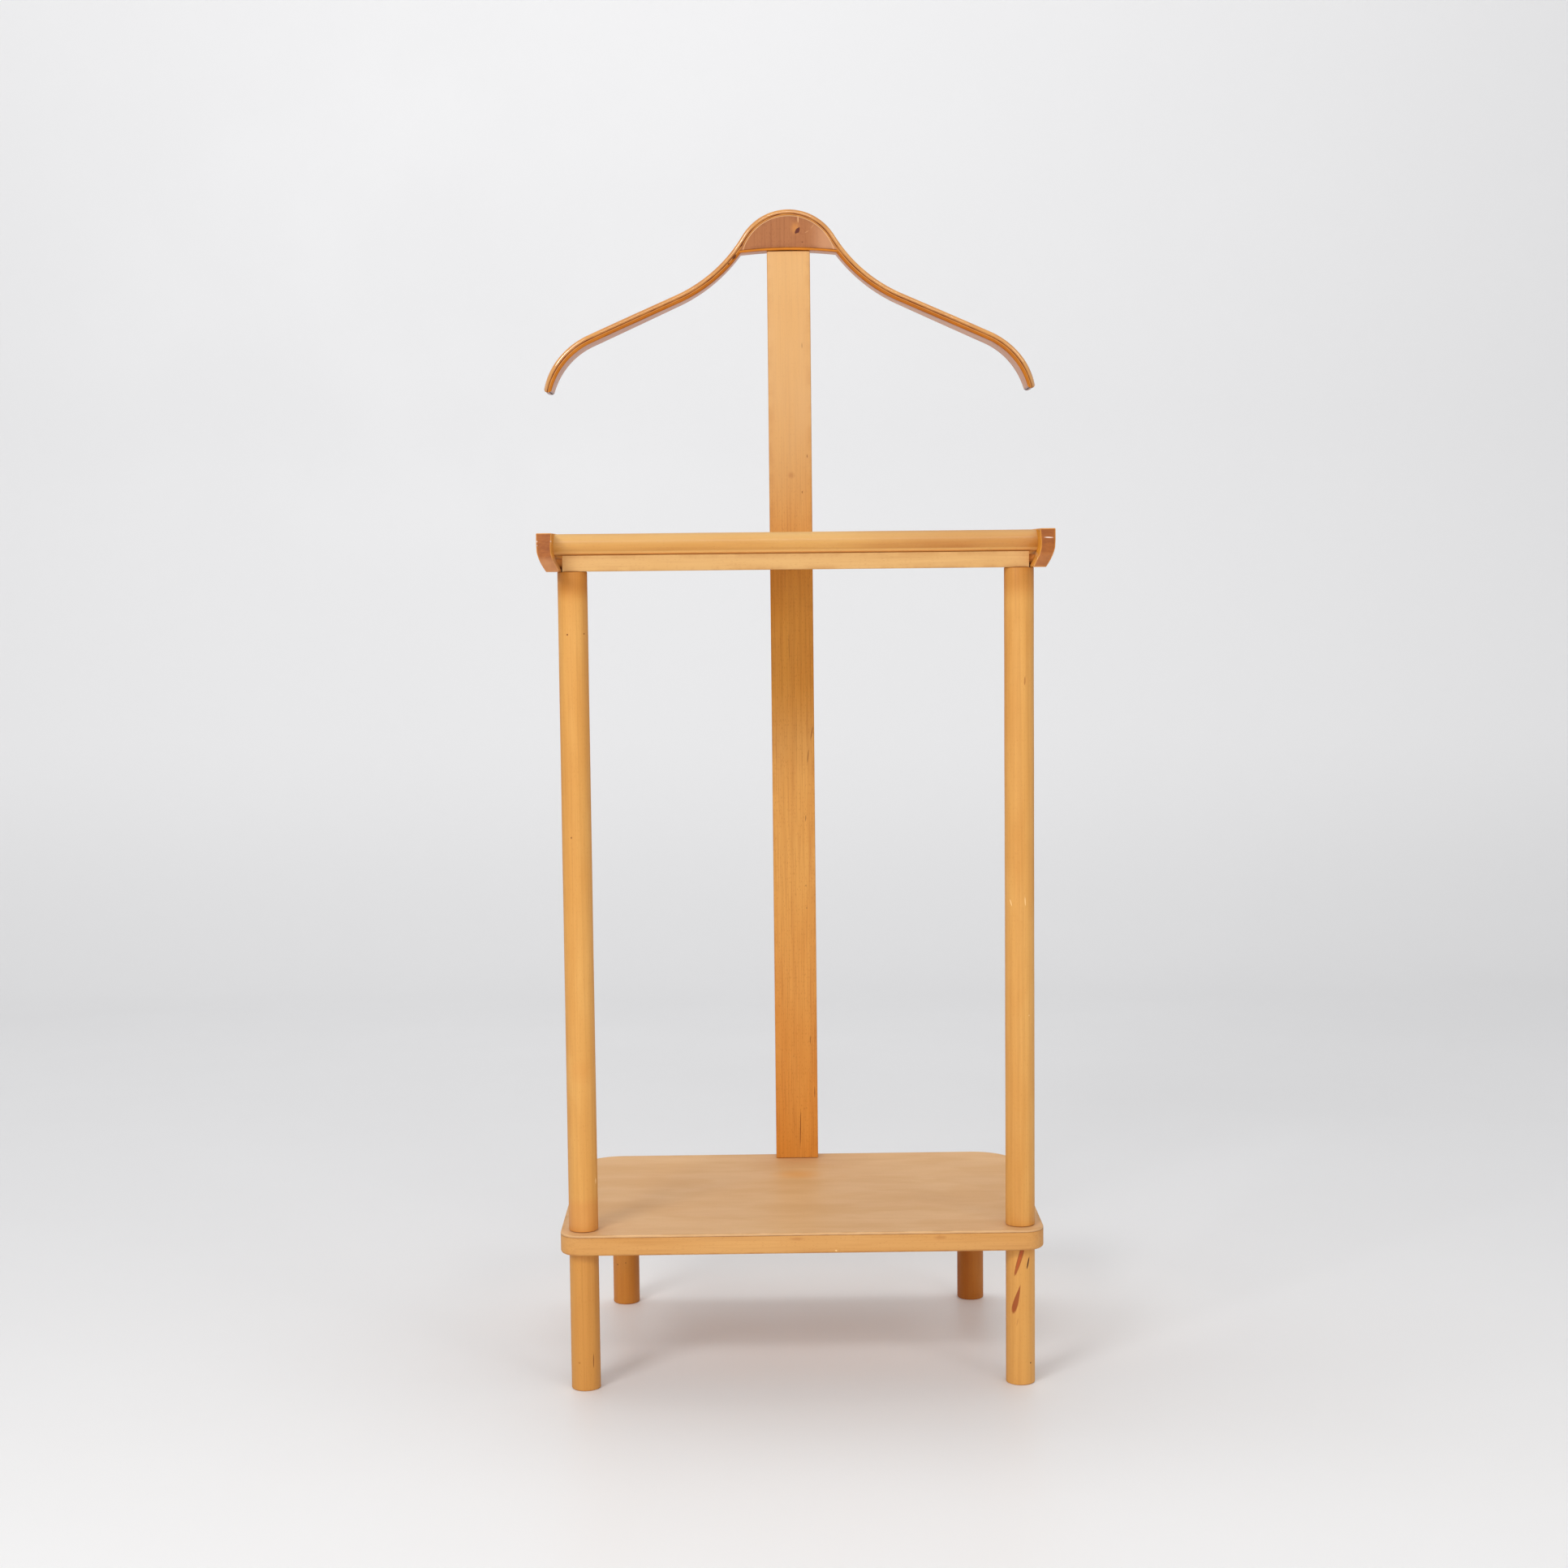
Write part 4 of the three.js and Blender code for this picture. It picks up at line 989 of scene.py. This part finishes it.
GLOSSY = dict(
    roughness=0.3, gloss=0.15, coat=1.0, coat_roughness=0.06, coat_index=1.8, grazing=0.6, mottle=0.5,
    relief=0.04,
)
SATIN = dict(roughness=0.34, gloss=0.12, coat=0.25, coat_roughness=0.08, grazing=1.0, mottle=0.5, relief=0.04)


def both_tips(depth):
    return -tip_run(depth), tip_run(depth)


def arch_z(x, top):
    return top - ARCH_RADIUS + math.sqrt(ARCH_RADIUS * ARCH_RADIUS - x * x)


def last_place(low, high, holds):
    """The last place between low and high at which something holds, by halving."""
    for _ in range(40):
        mid = (low + high) / 2
        if holds(mid):
            low = mid
        else:
            high = mid
    return low


def corner_run(depth, height):
    """Distance along the hanger at which the line at a depth in the stack meets an arch of a height."""
    def above_arch(run):
        x, z = hanger_point(run, depth)
        return z > arch_z(x, height)
    return last_place(0.02, 0.11, above_arch)


def hanger_flecks():
    """Dark flecks where the left arm leaves the hump."""
    node = "hanger_core_block"
    return [
        streak(node, (-42.0, 1007), (-44.8, 1000.5), 2.4, DARK, strength=0.9, ragged=0.7),
        streak(node, (-48.3, 995), (-52.2, 989.5), 2.6, DARK, strength=0.9, ragged=0.7),
        streak(node, (-55.0, 987.3), (-56.4, 984.8), 2.0, DARK, strength=0.7, ragged=0.6),
    ]


def hanger():
    upper = lamella_section(0.0, UPPER_END, 2.0 * MM, 0.2 * MM, 0.0, 0.4)
    inner = lamella_section(UPPER_END + GLUE_GAP, INNER_END, 0.2 * MM, 0.2 * MM, 1.0, 0.0)
    lower = lamella_section(LOWER_TOP, STACK, 0.2 * MM, 1.6 * MM, 0.3, 0.0)
    whole = even_stations(240)
    lamella(
        "hanger_upper_strip", "hanger_upper_lamella", upper, both_tips, whole, STRIP, "amber", 81,
        figure=0.5, bands=0.1, **GLOSSY,
    )
    lamella(
        "hanger_inner_strip", "hanger_inner_lamella", inner, both_tips, whole, LINER, "light", 83,
        figure=0.5, bands=0.1, marks=hanger_flecks(), **SATIN,
    )
    rim_bottom = rim_top - RIM_THICKNESS
    for seed, (side, sign) in enumerate((("left", -1), ("right", 1))):
        def span(depth, sign=sign):
            return sign * corner_run(depth, rim_bottom - RIM_GAP), sign * tip_run(depth)
        lamella(
            "hanger_lower_strip_" + side, "hanger_lower_lamella_" + side, lower, span, even_stations(130),
            AMBER, "amber", 85 + seed, figure=0.8, bands=0.1, marks=hanger_flecks(), **SATIN,
        )


SLICES, SIDE_ROWS = 96, 6


def slice_section(x, top, bottom, radius):
    """A rounded section of a piece under the hump, as (y, z, on an edge)."""
    r = min(radius, max(top - bottom, 0.04 * MM) * 0.45)
    half = half_depth(x) - 0.05 * MM
    side = [(half - r + r * sin, top - r + r * cos, 1.0) for sin, cos in quarter(4)]
    side += [(half, top - r + (bottom - top + 2 * r) * j / SIDE_ROWS, 0.0) for j in range(1, SIDE_ROWS)]
    side += [(half - r + r * sin, bottom + r - r * cos, 1.0) for sin, cos in quarter(4, backwards=True)]
    return side + [(-y, z, edge) for y, z, edge in reversed(side)]


def hump_slice(name, node, top_of, bottom_of, reach, colours, slot, seed, radius, grain, **looks):
    """A piece under the hump, between two heights at each place across."""
    skin = Skin()
    rings = []
    for k in range(SLICES + 1):
        x = -reach * math.cos(math.pi * k / SLICES)
        section = slice_section(x, top_of(x), bottom_of(x), radius)
        points = [Vector((x, hanger_y + y, z)) for y, z, _ in section]
        rings.append(skin.ring(points, [GRAINS[grain](p) for p in points], [edge for _, _, edge in section]))
    skin.tube(rings)
    skin.piece(name, wood(node + "_wood", seed=seed, **colours, **looks), [node], slot, 40)


def block_marks():
    """A small knot right of the middle, with a light streak above it, a pale arc and a dot below; the arc is
    partly pale wood and partly a painted highlight on the block's top edge.
    """
    node = "hanger_core_block"
    amber, pale = linear(204, 134, 66), linear(236, 186, 130)
    halo, heart = linear(150, 86, 50), linear(96, 40, 28)
    arc_z, arc_radius = 985.6, 44.2
    return [
        # The pale arc along the block's top edge: partly pale wood, partly a painted highlight.
        streak(
            node, (0, arc_z - arc_radius), (0, arc_z + arc_radius), 2 * arc_radius, pale, ring=True,
            strength=0.75, soft=0.013, ragged=0.006,
        ),
        streak(node, (6.5, 1026), (7.0, 1010), 12, amber, strength=0.75, soft=0.9),
        streak(node, (9.2, 1030), (9.2, 1022.5), 0.9, pale, strength=0.8),
        streak(node, (10.8, 1018), (14.5, 1013), 5.0, halo, ring=True, strength=0.35, soft=0.3),
        streak(node, (11.2, 1019.4), (6.4, 1012.8), 4.4, heart, taper=0.3, ragged=0.7),
        streak(node, (13.0, 1006.2), (13.0, 1004.8), 1.2, DARK, strength=0.8),
        streak(node, (14, 1013), (20, 1016.5), 0.9, pale, strength=0.35, soft=0.8),
        streak(node, (20, 1016.5), (25, 1023), 0.9, pale, strength=0.3, soft=0.8),
    ]


def under_strips(x):
    """Height of the inner strip's underside: an arc under the hump, and found by halving beyond it."""
    radius = HUMP - LOWER_TOP
    if abs(x) <= radius * math.sin(HUMP_TURN):
        return crown_z - HUMP + math.sqrt(radius * radius - x * x)
    run = last_place(0.04, 0.09, lambda place: hanger_point(place, LOWER_TOP)[0] < abs(x))
    return hanger_point(run, LOWER_TOP)[1]


def reach_for(height):
    return hanger_point(corner_run(LOWER_TOP, height), LOWER_TOP)[0]


def hump():
    """The half-moon block under the crown, and the thin arched rim below it."""
    block_bottom, rim_bottom = rim_top + RIM_GAP, rim_top - RIM_THICKNESS
    hump_slice(
        "hanger_half_moon", "hanger_core_block", under_strips, lambda x: arch_z(x, block_bottom),
        reach_for(block_bottom), REDDISH, "reddish", 91, 0.5 * MM, "z",
        figure=0.2, bands=0.05, lines=0.7, flecks=0.9, mottle=0.2, roughness=0.34, coat=0.15,
        tones=[tone(0.016, 0.038, (202, 146, 106), axis=0, amount=0.9)],
        marks=block_marks() + hanger_flecks()[:1],
    )
    hump_slice(
        "hanger_rim", "hanger_bottom_rim", lambda x: min(under_strips(x), arch_z(x, rim_top)),
        lambda x: arch_z(x, rim_bottom), reach_for(rim_bottom), AMBER, "amber", 93, 0.7 * MM, "x",
        figure=0.6, bands=0.1, **SATIN,
    )


hanger()
hump()


# ---------------------------------------------------------------- screws

HEAD, SHANK, CONE = 4 * MM, 1.9 * MM, 2.4 * MM
POINT, POINT_RADIUS = 6 * MM, 0.2 * MM
RECESS_REACH, RECESS_WIDTH, RECESS_DEPTH = 2.5 * MM, 0.55 * MM, 1.3 * MM
RECESS_SLOPE, RECESS_WALL = 0.9 * MM, 0.2 * MM
THREAD_START, THREAD_PITCH, THREAD_DEPTH = CONE + 3 * MM, 1.6 * MM, 0.35 * MM
HEAD_RINGS, THREAD_RINGS, POINT_RINGS, TURNS = 12, 120, 8, 48


def screw_profile(length):
    """The screw's outline from the middle of its head: (radius, height, on the face)."""
    profile = [(HEAD * k / HEAD_RINGS - 0.08 * MM, 0.06 * MM, True) for k in range(1, HEAD_RINGS + 1)]
    profile += [(HEAD, 0.2 * MM, False), (HEAD, 0.4 * MM, False), (SHANK, CONE, False)]
    run = length - POINT - CONE
    profile += [(SHANK, CONE + run * k / THREAD_RINGS, False) for k in range(1, THREAD_RINGS)]
    for k in range(1, POINT_RINGS + 1):
        share = k / POINT_RINGS
        height = length - POINT * (1 - share) - 0.02 * MM
        profile.append((max(SHANK * (1 - share), POINT_RADIUS), height, False))
    return profile


def recess(radius, angle):
    """How deep the head's cross recess is at a place on its face."""
    x, y = abs(radius * math.cos(angle)), abs(radius * math.sin(angle))
    along, across = max(x, y), min(x, y)
    if along >= RECESS_REACH or across >= RECESS_WIDTH:
        return 0.0
    slope = min(1, (RECESS_REACH - along) / RECESS_SLOPE)
    return RECESS_DEPTH * slope * min(1, (RECESS_WIDTH - across) / RECESS_WALL)


def wood_screw(node, axis):
    """A countersunk screw with a cross recess and a thread, head at the CAD screw's head end."""
    low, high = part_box(node)
    centre = (low + high) / 2
    length = high.z - low.z if axis == "z" else high.y - low.y

    def place(radius, angle, height):
        x, y = radius * math.cos(angle), radius * math.sin(angle)
        if axis == "z":
            return Vector((centre.x + x, centre.y + y, low.z + height))
        return Vector((centre.x + x, high.y - height, centre.z + y))

    skin = Skin()
    rings = []
    for radius, height, face in screw_profile(length):
        points = []
        for i in range(TURNS):
            angle = 2 * math.pi * i / TURNS
            deep, out = height, radius
            if face:
                deep += recess(radius, angle)
            elif height > THREAD_START and radius >= SHANK - 1e-6:
                wave = (height / THREAD_PITCH + i / TURNS) % 1
                out -= THREAD_DEPTH * min(1, 3 * abs(wave - 0.5))
            points.append(place(out, angle, deep))
        rings.append(skin.ring(points, [GRAINS["z"](p) for p in points]))
    for first, second in zip(rings, rings[1:], strict=False):
        skin.bridge(first, second)
    bottom = skin.ring([place(0, 0, RECESS_DEPTH + 0.06 * MM)], [(0, 0, 0)])[0]
    for i in range(TURNS):
        skin.faces.append((rings[0][(i + 1) % TURNS], rings[0][i], bottom))
    skin.close(rings[-1])
    skin.piece(node + "_threaded", steel(node + "_steel"), [node], "steel")


wood_screw("upright_foot_screw", "z")
wood_screw("upright_tray_screw_lower", "y")
wood_screw("upright_tray_screw_upper", "y")


# ---------------------------------------------------------------- hidden pins, bolts and inserts

threaded = steel("threaded_steel", pitch=1.25 * MM)
# The pins' paler colour is partly painted light in the shaded gaps beside the front rail.
pin_wood = wood("pin_wood", seed=97, **PIN_WOOD_AND_LIGHT, roughness=0.6, source="object")
for name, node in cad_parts.items():
    if node.hide_render:
        continue
    node.data.materials.clear()
    node.data.materials.append(threaded if "bolt" in name or "insert" in name else pin_wood)


# ---------------------------------------------------------------- studio

WALL_Y, COVE, HALF_WIDTH, WALL_TOP, FLOOR_FRONT = 2.8, 1.0, 9.0, 6.0, -9.0
COVE_STEPS = 24


def stage_paint():
    """A matt off-white with painted light falloff: a little darker far off, most near the floor, and a little
    lighter round the stand's foot, which lifts the shadow under the shelf.
    """
    shader = Shader("studio_paint")
    place = shader.add("ShaderNodeTexCoord").outputs["Object"]
    patch = shader.noise(shader.scaled(place, 3, 3), 4.0)
    colour = shader.mix(patch, linear(240, 240, 240), linear(237, 236, 236))
    parts = shader.add("ShaderNodeSeparateXYZ", {0: place})
    # Painted light falloff: the paint darker far off, and darker still near the floor.
    far = shader.ramp(parts.outputs[1], -0.7, 0.6)
    low_wall, high_wall = linear(227, 227, 228), linear(235, 235, 236)
    painted_falloff = shader.mix(shader.ramp(parts.outputs[2], 0.05, 0.4), low_wall, high_wall)
    colour = shader.mix(far, colour, painted_falloff)
    # Painted light: a lighter ellipse round the stand's foot lifts the shadow under the shelf.
    around = shader.scaled(shader.vector("SUBTRACT", place, (0.04, 0.1, 0.0)), 2.4, 3.4)
    reach = shader.add("ShaderNodeVectorMath", {0: around}, operation="LENGTH").outputs["Value"]
    colour = shader.mix(shader.ramp(reach, 0.2, 1.0, 1.0, 0.0), colour, linear(252, 251, 250))
    rough = shader.ramp(patch, 0.3, 0.7, 0.4, 0.55)
    return shader.finish({"Base Color": colour, "Roughness": rough, "Specular IOR Level": 0.35})


def stage_surface():
    """A pale floor that turns up into a wall behind, in one sheet."""
    line = [(FLOOR_FRONT, 0.0), (-1.0, 0.0), (0.0, 0.0), (WALL_Y - COVE, 0.0)]
    line += [(WALL_Y - COVE + COVE * sin, COVE - COVE * cos) for sin, cos in quarter(COVE_STEPS)[1:]]
    line.append((WALL_Y, WALL_TOP))
    points = [(x, y, z) for y, z in line for x in (-HALF_WIDTH, HALF_WIDTH)]
    faces = [(2 * k, 2 * k + 1, 2 * k + 3, 2 * k + 2) for k in range(len(line) - 1)]
    mesh = bpy.data.meshes.new("studio_sweep")
    mesh.from_pydata(points, [], faces)
    mesh.shade_smooth()
    mesh.set_sharp_from_angle(angle=math.radians(60))
    mesh.materials.append(stage_paint())
    sweep = bpy.data.objects.new("studio_sweep", mesh)
    bpy.context.scene.collection.objects.link(sweep)


def softbox(name, place, target, size, power, mirrored=True):
    light = bpy.data.lights.new(name, "AREA")
    light.shape = "RECTANGLE"
    light.size, light.size_y = size
    light.energy = power
    holder = bpy.data.objects.new(name, light)
    holder.location = place
    holder.visible_camera = False
    holder.visible_glossy = mirrored
    aim = Vector(target) - Vector(place)
    holder.rotation_euler = aim.to_track_quat("-Z", "Y").to_euler()
    bpy.context.scene.collection.objects.link(holder)


def studio_light():
    world = bpy.data.worlds.new("studio_air")
    world.use_nodes = True
    background = world.node_tree.nodes["Background"]
    background.inputs["Color"].default_value = (1.0, 1.0, 1.0, 1.0)
    background.inputs["Strength"].default_value = 0.54
    bpy.context.scene.world = world
    softbox("key_softbox", (-1.75, -2.75, 2.35), (0, 0.2, 0.75), (1.1, 1.1), 46)
    softbox("right_softbox", (1.9, -2.6, 2.3), (0, 0.2, 0.75), (0.9, 0.9), 11)
    softbox("front_strip", (0.0, -2.9, 2.6), (0, 0.2, 0.8), (1.6, 0.3), 9)
    softbox("low_softbox", (0.0, -3.2, 0.85), (0, 0, 0.4), (2.6, 0.9), 23, mirrored=False)
    softbox("wall_softbox", (-0.3, 0.5, 3.4), (0, 2.3, 1.3), (3.0, 1.2), 30, mirrored=False)


CAMERA_PLACE = (-0.0336, -2.248, 0.7085)
PITCH, YAW, ROLL = math.radians(5.02), math.radians(0.59), math.radians(-0.59)
FOCAL_LENGTH, SENSOR_WIDTH = 57.76, 36


def camera():
    """Stands 2.25 m in front of the stand's middle, 0.71 m up, and looks 5 degrees down."""
    lens = bpy.data.cameras.new("studio_camera")
    lens.sensor_width = SENSOR_WIDTH
    lens.lens = FOCAL_LENGTH
    lens.clip_end = 50
    holder = bpy.data.objects.new("studio_camera", lens)
    forward = Vector((math.sin(YAW) * math.cos(PITCH), math.cos(YAW) * math.cos(PITCH), -math.sin(PITCH)))
    right = Vector((math.cos(YAW), -math.sin(YAW), 0.0))
    up = right.cross(forward)
    right_rolled = right * math.cos(ROLL) + up * math.sin(ROLL)
    up_rolled = up * math.cos(ROLL) - right * math.sin(ROLL)
    turn = Matrix((right_rolled, up_rolled, -forward)).transposed()
    holder.matrix_world = Matrix.Translation(Vector(CAMERA_PLACE)) @ turn.to_4x4()
    bpy.context.scene.collection.objects.link(holder)
    bpy.context.scene.camera = holder


stage_surface()
studio_light()
camera()
bpy.context.scene.view_settings.view_transform = "Standard"
